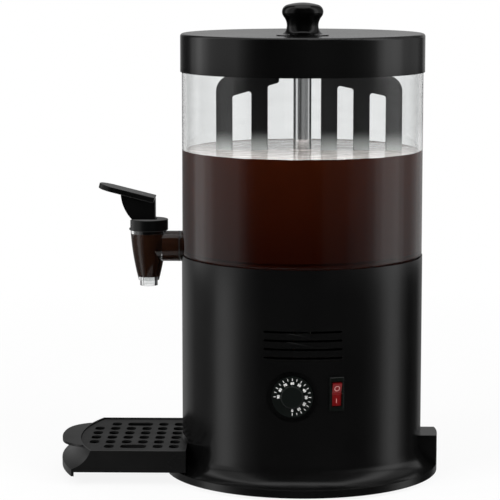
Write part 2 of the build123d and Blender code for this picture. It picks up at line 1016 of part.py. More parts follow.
def drive_shaft():
    shaft = disc(shaft_radius, shaft_bottom, socket_roof)
    flat_bottom = hub_bottom - hub_gap / 2
    for side in (-1, 1):
        near = side * shaft_flat
        far = side * (shaft_radius + cut_over)
        shaft -= block(
            -shaft_radius, shaft_radius, min(near, far), max(near, far), flat_bottom, socket_roof + cut_over
        )
    return shaft


def shaft_bushes():
    outer = column_radius - column_wall - running_fit
    bore = shaft_radius + running_fit
    lower = ring(outer, bore, column_bottom, column_bottom + bush_length)
    lower += ring(column_radius, bore, column_bottom - bush_flange, column_bottom)
    upper = ring(outer, bore, column_top - bush_length, column_top)
    upper += ring(column_radius, bore, column_top, column_top + bush_flange)
    return grouped([lower, upper])


def column_tube():
    return ring(column_radius, column_radius - column_wall, column_bottom, column_top)


def comb(inner, legs, slope):
    half = leg_width / 2
    corners = [(inner, hub_top, 0)]
    if inner < legs[0] - half:
        root = bar_top - arm_root_depth - slope * (inner - arm_root_radius)
        corners.append((inner, root, gap_round))
    for number, radius in enumerate(legs):
        near = radius - half
        far = radius + half
        if near > inner:
            corners.append((near, bar_top - arm_root_depth - slope * (near - arm_root_radius), gap_round))
        corners.append((near, leg_bottom, leg_round))
        corners.append((far, leg_bottom, leg_round))
        if number < len(legs) - 1:
            corners.append((far, bar_top - arm_root_depth - slope * (far - arm_root_radius), gap_round))
    corners.append((legs[-1] + half, bar_top, arm_tip_round))
    corners.append((inner + riser_width, bar_top, riser_round))
    corners.append((inner + riser_width, hub_top, 0))
    outline = FilletPolyline(
        *[(x, z) for x, z, bend in corners], radius=[bend for x, z, bend in corners], close=True
    )
    plate = extrude(side_face(outline), stirrer_thickness / 2, both=True)
    return fillet(plate.faces().filter_by(Axis.Y).edges(), stirrer_edge)


def stirrer():
    half = stirrer_thickness / 2
    body = comb(right_inner, right_legs, right_slope)
    body += Rot(0, 0, 180) * comb(left_inner, left_legs, left_slope)
    left_side = -left_inner - riser_width / 2
    right_side = right_inner + riser_width / 2
    body += block(left_side, right_side, -half, half, hub_bottom, hub_top - stirrer_edge)
    body += disc(hub_radius, hub_bottom, hub_top)
    socket = disc(shaft_radius + pin_fit, hub_bottom - cut_over, socket_roof)
    flat = shaft_flat + pin_fit
    socket &= block(-hub_radius, hub_radius, -flat, flat, hub_bottom - cut_over, socket_roof)
    return body - socket


# Bowl


def jar():
    heel_start = (jar_radius - jar_heel, jar_shoulder)
    heel_end = (jar_radius, jar_shoulder + jar_heel)
    bowl = turned(
        Polyline(
            heel_end,
            (jar_radius, jar_top),
            (jar_inner, jar_top),
            (jar_inner, jar_shoulder + jar_wall + jar_inner - spigot_inner),
            (spigot_inner, jar_shoulder + jar_wall),
            (spigot_inner, jar_bottom),
            (spigot_radius, jar_bottom),
            (spigot_radius, jar_shoulder),
            heel_start,
        ),
        RadiusArc(heel_start, heel_end, -jar_heel),
    )
    bowl += rod_x(tube_radius, -boss_face, -boss_back, tap_height)
    return bowl - rod_x(shank_radius + shank_fit, -boss_face - cut_over, -boss_back + cut_over, tap_height)


def bowl_gasket():
    return ring(spigot_radius - shank_fit, spigot_inner - gasket_margin, pan_top, jar_bottom)


def lid():
    seat_inner = jar_radius - lid_seat_width
    rounded = lid_round * (1 - math.sqrt(0.5))
    return turned(
        Polyline(
            (0, knob_under),
            (lid_pad_radius, knob_under),
            (seat_inner, lid_under),
            (seat_inner, jar_top),
            (lid_inner, jar_top),
            (lid_inner, lid_bottom),
            (lid_radius, lid_bottom),
            (lid_radius, lid_top - lid_round),
        ),
        ThreePointArc(
            (lid_radius, lid_top - lid_round),
            (lid_radius - rounded, lid_top - rounded),
            (lid_radius - lid_round, lid_top),
        ),
        Polyline(
            (lid_radius - lid_round, lid_top),
            (lid_pad_radius, knob_base),
            (0, knob_base),
            (0, knob_under),
        ),
    ) - disc(knob_screw_radius + screw_hole_fit, knob_under - cut_over, knob_base + cut_over)


def lid_knob():
    rise = knob_height - knob_crown[1]
    dome = RadiusArc((0, knob_height), knob_crown, (knob_crown[0] ** 2 + rise**2) / (2 * rise))
    belly = TangentArc(knob_crown, knob_waist, tangent=dome % 1)
    waist = TangentArc(knob_waist, knob_neck, tangent=belly % 1)
    flare = TangentArc(knob_neck, (knob_flare_radius, knob_flare_height), tangent=waist % 1)
    knob = turned(
        Polyline(
            (0, knob_height),
            (0, 0),
            (knob_flange_radius, 0),
            (knob_flange_radius, knob_flange_edge),
            (knob_flare_radius, knob_flare_height),
        ),
        flare,
        waist,
        belly,
        dome,
    )
    knob -= disc(knob_screw_radius + running_fit, -cut_over, knob_screw_length - lid_plate)
    return Pos(0, 0, knob_base) * knob


def knob_screw():
    screw = disc(knob_screw_head_radius, knob_under - knob_screw_head_height, knob_under)
    tip = knob_base + knob_screw_length - lid_plate - cut_over
    return screw + disc(knob_screw_radius, knob_under - knob_screw_head_height / 2, tip)


# Tap


def tap_body():
    barrel = turned(
        Polyline(
            (seat_radius, seat_height),
            (seat_radius, barrel_bottom),
            (barrel_bottom_radius, barrel_bottom),
        ),
        ThreePointArc(
            (barrel_bottom_radius, barrel_bottom),
            (barrel_mid_radius, barrel_mid),
            (barrel_top_radius, barrel_top),
        ),
        Polyline((barrel_top_radius, barrel_top), (barrel_top_radius - barrel_wall, barrel_top)),
        ThreePointArc(
            (barrel_top_radius - barrel_wall, barrel_top),
            (barrel_mid_radius - barrel_wall, barrel_mid),
            (seat_radius, seat_height),
        ),
    )
    outside = turned(
        Polyline((0, barrel_top), (0, barrel_bottom), (barrel_bottom_radius, barrel_bottom)),
        ThreePointArc(
            (barrel_bottom_radius, barrel_bottom),
            (barrel_mid_radius, barrel_mid),
            (barrel_top_radius, barrel_top),
        ),
        Polyline((barrel_top_radius, barrel_top), (0, barrel_top)),
    )
    pipe = rod_x(tube_radius, -tube_end, 0, 0) - outside
    bore = rod_x(tube_bore, -tube_end + tube_shoulder, 0, 0)
    shank = rod_x(shank_radius, -shank_end, -tube_end + tube_shoulder / 2, 0)
    shank_hole = rod_x(shank_bore, -shank_end - cut_over, 0, 0)
    return place_tap(barrel + pipe + shank - bore - shank_hole)


def tap_nozzle():
    outlet = ring(nozzle_radius, nozzle_bore, nozzle_bottom, barrel_bottom)
    seat = ring(seat_radius - running_fit, nozzle_bore, nozzle_bottom, seat_height)
    return place_tap(outlet + seat)


def tap_gasket():
    pad = rod_x(tube_radius, -tube_end - tap_gasket_thickness, -tube_end, 0)
    return place_tap(pad - rod_x(shank_radius + shank_fit, -nut_face, 0, 0))


def tap_nut():
    nut = Pos(-nut_end, 0, 0) * Rot(0, 90, 0) * hex_prism(tap_nut_radius, tap_nut_thickness)
    return place_tap(nut - rod_x(shank_radius + running_fit, -nut_end - cut_over, 0, 0))


def tap_cap():
    cap = disc(cap_radius, barrel_top, cap_top)
    cap = fillet(cap.edges().filter_by(GeomType.CIRCLE), cap_round)
    cap -= block(
        -cap_slot_end,
        cap_radius + cut_over,
        -cap_slot_half,
        cap_slot_half,
        barrel_top + cap_floor,
        cap_top + cut_over,
    )
    spigot_low = barrel_top - cap_spigot_length
    spigot_bore = cap_spigot_radius - cap_spigot_wall
    cap += ring(cap_spigot_radius, spigot_bore, spigot_low, barrel_top + cap_floor / 2)
    cap += disc(cap_spigot_radius, barrel_top, barrel_top + cap_floor)
    cap -= disc(stem_radius + stem_hole_gap, spigot_low - cut_over, cap_top + cut_over)
    pin_reach = pivot_half_length + pin_fit
    return place_tap(cap - rod_y(pivot_radius + pin_fit, -pin_reach, pin_reach, pivot_offset, pivot_height))


def stem_seal():
    outer = cap_spigot_radius - cap_spigot_wall - running_fit
    return place_tap(ring(outer, stem_radius + stem_seal_gap, spring_top, barrel_top))


def tap_plunger():
    plunger = disc(piston_radius, seal_top, piston_top) + disc(stem_radius, seal_top, stem_top)
    slot_half = link_radius + link_slot_gap
    plunger -= block(
        -link_slot_half,
        link_slot_half,
        -piston_radius,
        piston_radius,
        pivot_height - slot_half,
        pivot_height + slot_half,
    )
    return place_tap(plunger)


def plunger_seal():
    return place_tap(disc(seal_radius, seat_height, seal_top))


def coil_point(turn, low, pitch):
    angle = 2 * math.pi * turn
    return Vector(spring_radius * math.cos(angle), spring_radius * math.sin(angle), low + pitch * turn)


def coil_heading(turn, pitch):
    angle = 2 * math.pi * turn
    run = 2 * math.pi * spring_radius
    return Vector(-run * math.sin(angle), run * math.cos(angle), pitch).normalized()


def tap_spring():
    low = piston_top + spring_wire + spring_seat
    high = spring_top - spring_wire - spring_seat
    pitch = (high - low) / spring_turns
    steps = 4 * spring_turns
    arcs = []
    for step in range(steps):
        start = coil_point(step / 4, low, pitch)
        end = coil_point((step + 1) / 4, low, pitch)
        leaving = coil_heading(step / 4, pitch)
        arriving = coil_heading((step + 1) / 4, pitch)
        span = end - start
        bend = 2 * (1 - leaving.dot(arriving))
        pull = span.dot(leaving + arriving)
        reach = (math.sqrt(pull**2 + bend * span.dot(span)) - pull) / bend
        ahead = start + leaving * reach
        behind = end - arriving * reach
        middle = (ahead + behind) * 0.5
        arcs.append(TangentArc(start, middle, tangent=leaving).edge())
        arcs.append(TangentArc(middle, end, tangent=behind - ahead).edge())
    wire_start = Plane(origin=coil_point(0, low, pitch), z_dir=coil_heading(0, pitch))
    coil = sweep(wire_start * Circle(spring_wire), path=Wire(arcs))
    print("tap_spring least gap between coils", round(coil_gap(low, pitch), 3))
    return place_tap(coil)


def coil_gap(low, pitch):
    samples = 72
    points = [coil_point(number / samples, low, pitch) for number in range(2 * samples)]
    first = points[: samples // 2]
    second = points[samples - samples // 4 :]
    least = min((a - b).length for a in first for b in second)
    return least - 2 * spring_wire


def tap_lever():
    back = ThreePointArc(lever_back_top, lever_back_mid, lever_back_low)
    rest = Polyline(
        lever_back_low,
        (pivot_offset, pivot_height),
        (0, pivot_height),
        (-lever_heel, lever_chin),
        (-lever_heel, lever_plate_height - lever_plate_thickness / 2),
        lever_back_top,
    )
    stem = extrude(side_face(back, rest), lever_half_width, both=True)
    eye = Pos(pivot_offset / 2, pivot_height) * SlotCenterToCenter(pivot_offset, 2 * lever_eye)
    stem += extrude(Plane.XZ * eye, lever_half_width, both=True)
    reach = lever_back_top[0] + cut_over
    low = pivot_height - lever_eye - cut_over
    fork = lever_fork_half
    stem -= block(-lever_heel - cut_over, reach, -fork, fork, low, lever_fork_low)
    stem -= block(-lever_heel - cut_over, lever_fork_reach, -fork, fork, low, lever_fork_top)
    lean = math.radians(lever_plate_angle)
    top = Plane(
        origin=(-lever_heel, 0, lever_plate_height),
        x_dir=(math.cos(lean), 0, math.sin(lean)),
        z_dir=(-math.sin(lean), 0, math.cos(lean)),
    )
    wide = lever_plate_half_width
    straight = lever_plate_length - wide
    outline = make_face(
        [
            *Polyline((straight, wide), (0, wide), (0, -wide), (straight, -wide)).edges(),
            ThreePointArc((straight, -wide), (lever_plate_length, 0), (straight, wide)).edge(),
        ]
    )
    plate = extrude(outline, -lever_plate_thickness)
    plate = fillet(plate.faces().filter_by(Axis.Z).edges(), lever_plate_edge)
    lever = stem + top * plate
    span = lever_half_width + cut_over
    lever -= rod_y(pivot_radius + running_fit, -span, span, pivot_offset, pivot_height)
    lever -= rod_y(link_radius + pin_fit, -span, span, 0, pivot_height)
    return place_tap(lever)


def lever_pin():
    return place_tap(rod_y(pivot_radius, -pivot_half_length, pivot_half_length, pivot_offset, pivot_height))


def link_pin():
    return place_tap(rod_y(link_radius, -link_half_length, link_half_length, 0, pivot_height))


# Drip tray


def tray_plan(inset):
    half = tray_half_width - inset
    radius = tray_front_radius - inset
    corner = tray_centre - math.sqrt(radius**2 - half**2)
    back = tray_back - inset
    edges = Polyline((corner, half), (back, half), (back, -half), (corner, -half)).edges()
    front = ThreePointArc((corner, -half), (tray_centre - radius, 0), (corner, half))
    return make_face([*edges, front.edge()])


def tray_fill(inset, z0, z1):
    return Pos(0, 0, z0) * extrude(tray_plan(inset), z1 - z0)


def tray_flare():
    rim = tray_front_radius
    root = rim - tray_wall / 2
    tip = rim + flare_reach
    sheet = flare_sheet
    profile = turned(
        Polyline(
            (tip, flare_bottom),
            (tip, flare_foot),
            (tip - sheet, flare_foot),
            (tip - sheet, flare_bottom - sheet / 2),
        ),
        ThreePointArc(
            (tip - sheet, flare_bottom - sheet / 2),
            (rim + flare_mid_reach - sheet, flare_mid_height - sheet),
            (root, tray_top - 3 * sheet),
        ),
        Polyline((root, tray_top - 3 * sheet), (root, tray_top), (rim, tray_top)),
        ThreePointArc(
            (rim, tray_top), (rim + flare_mid_reach, flare_mid_height), (tip, flare_bottom)
        ),
    )
    cheek = turned(
        Polyline(
            (rim, tray_top),
            (root, tray_top),
            (root, tray_bottom),
            (tip, tray_bottom),
            (tip, flare_bottom),
        ),
        ThreePointArc(
            (tip, flare_bottom), (rim + flare_mid_reach, flare_mid_height), (rim, tray_top)
        ),
    )
    half = tray_half_width
    corner = math.sqrt(tray_front_radius**2 - half**2)
    flare = profile & block(-2 * tip, -corner, -half, half, 0, tray_top)
    for side in (-1, 1):
        inner = side * (half - tray_wall)
        outer = side * half
        flare += cheek & block(-2 * tip, -corner, min(inner, outer), max(inner, outer), 0, tray_top)
    return Pos(tray_centre, 0) * flare


def tray_tongue():
    back = tray_centre - tray_front_radius + tongue_root_depth
    tip = tray_centre - tray_front_radius - flare_reach
    far = [(tip + inset, half) for inset, half in tongue_curve]
    near = [(x, -half) for x, half in reversed(far)]
    edge = Spline(*far, (tip, 0), *near)
    sides = Polyline(near[-1], (back, -tongue_root_half), (back, tongue_root_half), far[0])
    plan = make_face([*edge.edges(), *sides.edges()])
    tongue = Pos(0, 0, tray_top - tongue_thickness) * extrude(plan, tongue_thickness)
    keep = tray_front_radius - tray_wall / 2
    return tongue - Pos(tray_centre, 0) * disc(keep, 0, body_top)


def drip_tray():
    tray = tray_fill(0, tray_bottom, tray_top)
    tray += tray_flare()
    tray += tray_tongue()
    tray -= tray_fill(tray_wall, grid_bottom, tray_top + cut_over)
    tray -= tray_fill(tray_wall + tray_ledge, tray_bottom + tray_floor, tray_top)
    tray += tray_fill(tray_wall / 2, tray_bottom, grid_top) & disc(land_radius, tray_bottom, grid_top)
    for side in (-1, 1):
        tray += block(
            tray_back - tray_wall / 2,
            tray_back + hook_reach,
            side * hook_offset - hook_half_width,
            side * hook_offset + hook_half_width,
            hook_height,
            hook_height + hook_thickness,
        )
    return tray


def drip_grid():
    grid = tray_fill(tray_wall + grid_gap, grid_bottom, grid_top)
    grid -= disc(land_radius + grid_gap, grid_bottom - cut_over, grid_top + cut_over)
    hole = Rot(0, 0, 90) * SlotOverall(grid_hole_length, grid_hole_width)
    wide = RectangleRounded(grid_pitch + grid_hole_width, grid_hole_length, grid_hole_width / 2 - pin_fit)
    for row in range(grid_row_count):
        y = -grid_edge_row + grid_row_pitch * row
        edge_row = row in (0, grid_row_count - 1)
        for column in range(grid_columns):
            shape = hole
            x = grid_first + grid_pitch * column
            if edge_row and column == 0:
                continue
            if edge_row and column == 2:
                shape = wide
                x += grid_pitch / 2
            if edge_row and column == 3:
                continue
            grid -= Pos(x, y, grid_bottom - cut_over) * extrude(shape, grid_thickness + 2 * cut_over)
    return grid


pieces = {
    "base_shell": base_shell,
    "bottom_plate": bottom_plate,
    "rubber_feet": rubber_feet,
    "plate_screws": plate_screws,
    "cord_gland": cord_gland,
    "gland_nut": gland_nut,
    "terminal_block": terminal_block,
    "heating_pan": heating_pan,
    "pan_studs": pan_studs,
    "pan_nuts": pan_nuts,
    "bath_tank": bath_tank,
    "bath_plug": bath_plug,
    "heating_element": heating_element,
    "element_glands": element_glands,
    "thermal_cutout": thermal_cutout,
    "thermostat": thermostat,
    "thermostat_screws": thermostat_screws,
    "thermostat_bulb": thermostat_bulb,
    "bulb_clip": bulb_clip,
    "dial_knob": dial_knob,
    "dial_spindle": dial_spindle,
    "switch_housing": switch_housing,
    "switch_rocker": switch_rocker,
    "motor": motor,
    "gearbox": gearbox,
    "gearbox_screws": gearbox_screws,
    "motor_bracket": motor_bracket,
    "bracket_screws": bracket_screws,
    "output_shaft": output_shaft,
    "shaft_coupling": shaft_coupling,
    "drive_shaft": drive_shaft,
    "shaft_bushes": shaft_bushes,
    "column_tube": column_tube,
    "stirrer": stirrer,
    "jar": jar,
    "bowl_gasket": bowl_gasket,
    "lid": lid,
    "lid_knob": lid_knob,
    "knob_screw": knob_screw,
    "tap_body": tap_body,
    "tap_nozzle": tap_nozzle,
    "tap_gasket": tap_gasket,
    "tap_nut": tap_nut,
    "tap_cap": tap_cap,
    "stem_seal": stem_seal,
    "tap_plunger": tap_plunger,
    "plunger_seal": plunger_seal,
    "tap_spring": tap_spring,
    "tap_lever": tap_lever,
    "lever_pin": lever_pin,
    "link_pin": link_pin,
    "drip_tray": drip_tray,
    "drip_grid": drip_grid,
}

os.makedirs("parts", exist_ok=True)
for name, make in pieces.items():
    export_step(make(), "parts/" + name + ".step")
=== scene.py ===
import json
import math

import bmesh
import bpy
from mathutils import Matrix, Vector, noise


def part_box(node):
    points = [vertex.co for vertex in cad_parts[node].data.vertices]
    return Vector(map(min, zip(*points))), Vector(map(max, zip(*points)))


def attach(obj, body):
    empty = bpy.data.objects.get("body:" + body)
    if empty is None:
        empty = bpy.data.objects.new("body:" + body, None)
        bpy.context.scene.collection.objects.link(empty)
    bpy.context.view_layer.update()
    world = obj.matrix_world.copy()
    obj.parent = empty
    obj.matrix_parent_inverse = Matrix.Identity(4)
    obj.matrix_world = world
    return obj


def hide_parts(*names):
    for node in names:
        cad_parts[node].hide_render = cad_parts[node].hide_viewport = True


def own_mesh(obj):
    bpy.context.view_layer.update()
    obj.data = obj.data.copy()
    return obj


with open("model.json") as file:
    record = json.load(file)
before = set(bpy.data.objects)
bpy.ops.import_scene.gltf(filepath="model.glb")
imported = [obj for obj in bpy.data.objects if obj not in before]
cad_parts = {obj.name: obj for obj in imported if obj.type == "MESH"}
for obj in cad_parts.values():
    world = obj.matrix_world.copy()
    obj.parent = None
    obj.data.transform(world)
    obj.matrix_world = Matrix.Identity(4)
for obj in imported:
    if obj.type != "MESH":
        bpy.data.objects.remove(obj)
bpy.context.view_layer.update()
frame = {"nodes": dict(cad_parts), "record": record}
nodes = frame["nodes"]
print("frame loaded,", len(nodes), "nodes")

scene = bpy.context.scene
scene.view_settings.view_transform = "Standard"


# Small helpers

sharpEdge = math.radians(35)  # edges steeper than this stay crisp in smooth shading


def linear(hexColour):
    # sRGB hex to the linear colour that the sockets take
    parts = [int(hexColour[start:start + 2], 16) / 255 for start in (1, 3, 5)]
    return [c / 12.92 if c <= 0.04045 else ((c + 0.055) / 1.055) ** 2.4 for c in parts] + [1.0]


def addNode(tree, kind, inputs=None, **settings):
    node = tree.nodes.new(kind)
    for name, value in settings.items():
        setattr(node, name, value)
    for key, value in (inputs or {}).items():
        if isinstance(value, bpy.types.NodeSocket):
            tree.links.new(value, node.inputs[key])
        else:
            node.inputs[key].default_value = value
    return node


def perMetre(millimetres):
    # scale of a texture whose features are this many millimetres across
    return 1000 / millimetres


def newMaterial(name):
    material = bpy.data.materials.new(name)
    material.use_nodes = True
    tree = material.node_tree
    tree.nodes.clear()
    output = addNode(tree, "ShaderNodeOutputMaterial")
    place = addNode(tree, "ShaderNodeTexCoord").outputs["Object"]
    return material, tree, output, place


def newObject(name, data):
    piece = bpy.data.objects.new(name, data)
    scene.collection.objects.link(piece)
    return piece


def paint(piece, material):
    if piece.material_slots:
        piece.material_slots[0].material = material
    else:
        piece.data.materials.append(material)


def flatMesh(name, shape):
    mesh = bpy.data.meshes.new(name)
    shape.to_mesh(mesh)
    shape.free()
    return mesh


def smoothMesh(name, shape):
    bmesh.ops.recalc_face_normals(shape, faces=shape.faces)
    mesh = flatMesh(name, shape)
    mesh.shade_smooth()
    mesh.set_sharp_from_angle(angle=sharpEdge)
    return mesh


def finalMesh(piece):
    # the mesh that a piece's modifiers or text settings give
    return bpy.data.meshes.new_from_object(piece.evaluated_get(bpy.context.evaluated_depsgraph_get()))


def weld(mesh, distance):
    # joins the corners that neighbouring faces of a node's mesh don't share
    shape = bmesh.new()
    shape.from_mesh(mesh)
    bmesh.ops.remove_doubles(shape, verts=shape.verts, dist=distance)
    shape.to_mesh(mesh)
    shape.free()


def ring(shape, radius, level, spokes):
    # corners on a level circle round the Z axis, or a single one on the axis itself
    corners = []
    for spoke in range(spokes if radius > 0 else 1):
        turn = 2 * math.pi * spoke / spokes
        corners.append(shape.verts.new((radius * math.cos(turn), radius * math.sin(turn), level)))
    return corners


def bridge(shape, first, second):
    # faces between two rings of corners, one of which may be a single corner
    count = max(len(first), len(second))
    faces = []
    for spoke in range(count):
        after = (spoke + 1) % count
        corners = [first[spoke % len(first)], second[spoke % len(second)],
                   second[after % len(second)], first[after % len(first)]]
        faces.append(shape.faces.new(list(dict.fromkeys(corners))))
    return faces


# Materials

reliefDepth = 0.0001  # metres of height that a relief of 1 stands for

patternSize = {
    # millimetres across; the fine ones are drawn coarser than they are, so that they show
    "polishedPatch": 45,
    "metalStain": 30,
    "wipingSmear": 60,
    "inkCover": 0.8,
    "cocoaSwirl": 38,
    "froth": 14,
    "milkRun": 12,
    "nylonSkin": 0.8,
    "paperCloud": 60,
}


def mouldedPlastic(name, colour, worn, roughness, grain, relief, ior=1.5):
    # injection-moulded ABS: an even spark-eroded skin that scatters a soft sheen,
    # with faint cloudy patches where hands and cloths have polished it
    material, tree, output, place = newMaterial(name)
    cloud = addNode(tree, "ShaderNodeTexNoise",
                    {"Vector": place, "Scale": perMetre(patternSize["polishedPatch"]), "Detail": 3.0})
    skin = addNode(tree, "ShaderNodeTexNoise",
                   {"Vector": place, "Scale": perMetre(grain), "Detail": 2.0})
    tint = addNode(tree, "ShaderNodeMix",
                   {"Factor": cloud.outputs["Fac"], "A": linear(colour), "B": linear(worn)},
                   data_type="RGBA")
    gloss = addNode(tree, "ShaderNodeMapRange",
                    {"Value": cloud.outputs["Fac"], "From Min": 0.3, "From Max": 0.7,
                     "To Min": roughness * 0.9, "To Max": roughness * 1.12})
    bump = addNode(tree, "ShaderNodeBump",
                   {"Height": skin.outputs["Fac"], "Strength": relief, "Distance": reliefDepth})
    shader = addNode(tree, "ShaderNodeBsdfPrincipled",
                     {"Base Color": tint.outputs["Result"], "Roughness": gloss.outputs["Result"],
                      "Normal": bump.outputs["Normal"], "IOR": ior})
    tree.links.new(shader.outputs["BSDF"], output.inputs["Surface"])
    return material


def workedMetal(name, colour, dull, roughness, stretch, grain, relief):
    # sheet, bar or wire that keeps the lines of its rolling, turning or brushing
    material, tree, output, place = newMaterial(name)
    along = addNode(tree, "ShaderNodeMapping", {"Vector": place, "Scale": stretch})
    lines = addNode(tree, "ShaderNodeTexNoise",
                    {"Vector": along.outputs["Vector"], "Scale": perMetre(grain), "Detail": 4.0})
    stain = addNode(tree, "ShaderNodeTexNoise",
                    {"Vector": place, "Scale": perMetre(patternSize["metalStain"]), "Detail": 2.0})
    tint = addNode(tree, "ShaderNodeMix",
                   {"Factor": stain.outputs["Fac"], "A": linear(colour), "B": linear(dull)},
                   data_type="RGBA")
    gloss = addNode(tree, "ShaderNodeMapRange",
                    {"Value": lines.outputs["Fac"], "From Min": 0.3, "From Max": 0.7,
                     "To Min": roughness * 0.75, "To Max": roughness * 1.3})
    bump = addNode(tree, "ShaderNodeBump",
                   {"Height": lines.outputs["Fac"], "Strength": relief, "Distance": reliefDepth})
    shader = addNode(tree, "ShaderNodeBsdfPrincipled",
                     {"Base Color": tint.outputs["Result"], "Roughness": gloss.outputs["Result"],
                      "Metallic": 1.0, "Normal": bump.outputs["Normal"]})
    tree.links.new(shader.outputs["BSDF"], output.inputs["Surface"])
    return material


def castAcrylic(name, colour, haze, roughness):
    # clear moulded acrylic: sharp reflections, a slight grey edge and very fine wiping haze
    material, tree, output, place = newMaterial(name)
    wipe = addNode(tree, "ShaderNodeMapping", {"Vector": place, "Scale": (1.0, 1.0, 6.0)})
    smear = addNode(tree, "ShaderNodeTexNoise",
                    {"Vector": wipe.outputs["Vector"], "Scale": perMetre(patternSize["wipingSmear"]),
                     "Detail": 3.0})
    tint = addNode(tree, "ShaderNodeMix",
                   {"Factor": smear.outputs["Fac"], "A": linear(colour), "B": linear(haze)},
                   data_type="RGBA")
    gloss = addNode(tree, "ShaderNodeMapRange",
                    {"Value": smear.outputs["Fac"], "From Min": 0.35, "From Max": 0.75,
                     "To Min": 0.0, "To Max": roughness})
    shader = addNode(tree, "ShaderNodeBsdfPrincipled",
                     {"Base Color": tint.outputs["Result"], "Roughness": gloss.outputs["Result"],
                      "Transmission Weight": 1.0, "IOR": 1.49})
    tree.links.new(shader.outputs["BSDF"], output.inputs["Surface"])
    return material


def printedInk(name, colour, thin):
    # pad-printed ink: matt and a little uneven in cover
    material, tree, output, place = newMaterial(name)
    cover = addNode(tree, "ShaderNodeTexNoise",
                    {"Vector": place, "Scale": perMetre(patternSize["inkCover"]), "Detail": 2.0})
    tint = addNode(tree, "ShaderNodeMix",
                   {"Factor": cover.outputs["Fac"], "A": linear(colour), "B": linear(thin)},
                   data_type="RGBA")
    shader = addNode(tree, "ShaderNodeBsdfPrincipled",
                     {"Base Color": tint.outputs["Result"], "Roughness": 0.55})
    tree.links.new(shader.outputs["BSDF"], output.inputs["Surface"])
    return material


def drinkingChocolate(name, deep, milky, levels):
    # thick cocoa behind clear plastic: darker low down, and hardly any gloss since it wets the wall
    material, tree, output, place = newMaterial(name)
    swirlHeight = 0.03  # metres by which the swirls carry the tint up
    swirl = addNode(tree, "ShaderNodeTexNoise",
                    {"Vector": place, "Scale": perMetre(patternSize["cocoaSwirl"]), "Detail": 4.0,
                     "Distortion": 0.6})
    parts = addNode(tree, "ShaderNodeSeparateXYZ", {"Vector": place})
    uneven = addNode(tree, "ShaderNodeMath",
                     {0: swirl.outputs["Fac"], 1: swirlHeight, 2: parts.outputs["Z"]},
                     operation="MULTIPLY_ADD")
    height = addNode(tree, "ShaderNodeMapRange",
                     {"Value": uneven.outputs["Value"], "From Min": levels[0], "From Max": levels[1]})
    tint = addNode(tree, "ShaderNodeMix",
                   {"Factor": height.outputs["Result"], "A": linear(deep), "B": linear(milky)},
                   data_type="RGBA")
    shader = addNode(tree, "ShaderNodeBsdfPrincipled",
                     {"Base Color": tint.outputs["Result"], "Roughness": 0.3, "IOR": 1.08})
    tree.links.new(shader.outputs["BSDF"], output.inputs["Surface"])
    return material


def milkSkin(name, skin, cream):
    # the drink's surface: a wet skin of milk with patches of fine froth, and painted shade that darkens it
    # towards the back, where the lid shades it
    material, tree, output, place = newMaterial(name)
    back = 0.11  # where the painted shade of the lid is deepest, in metres from the middle
    front = -0.09  # where the painted shade has faded out and the froth shows in full
    patchiness = 0.6
    foam = addNode(tree, "ShaderNodeTexNoise",
                   {"Vector": place, "Scale": perMetre(patternSize["froth"]), "Detail": 5.0})
    parts = addNode(tree, "ShaderNodeSeparateXYZ", {"Vector": place})
    # painted shade: a tint that darkens the skin from front to back, standing for the lid's shadow
    paintedLidShade = addNode(tree, "ShaderNodeMapRange",
                    {"Value": parts.outputs["Y"], "From Min": back, "From Max": front,
                     "To Min": -0.3, "To Max": 0.7})
    # froth patches, with the painted shade of the lid added to them
    cover = addNode(tree, "ShaderNodeMath",
                    {0: foam.outputs["Fac"], 1: patchiness, 2: paintedLidShade.outputs["Result"]},
                    operation="MULTIPLY_ADD")
    tint = addNode(tree, "ShaderNodeMix",
                   {"Factor": cover.outputs["Value"], "A": linear(skin), "B": linear(cream)},
                   data_type="RGBA")
    gloss = addNode(tree, "ShaderNodeMapRange",
                    {"Value": foam.outputs["Fac"], "From Min": 0.35, "From Max": 0.65,
                     "To Min": 0.02, "To Max": 0.07})
    shader = addNode(tree, "ShaderNodeBsdfPrincipled",
                     {"Base Color": tint.outputs["Result"], "Roughness": gloss.outputs["Result"],
                      "IOR": 1.25})
    tree.links.new(shader.outputs["BSDF"], output.inputs["Surface"])
    return material


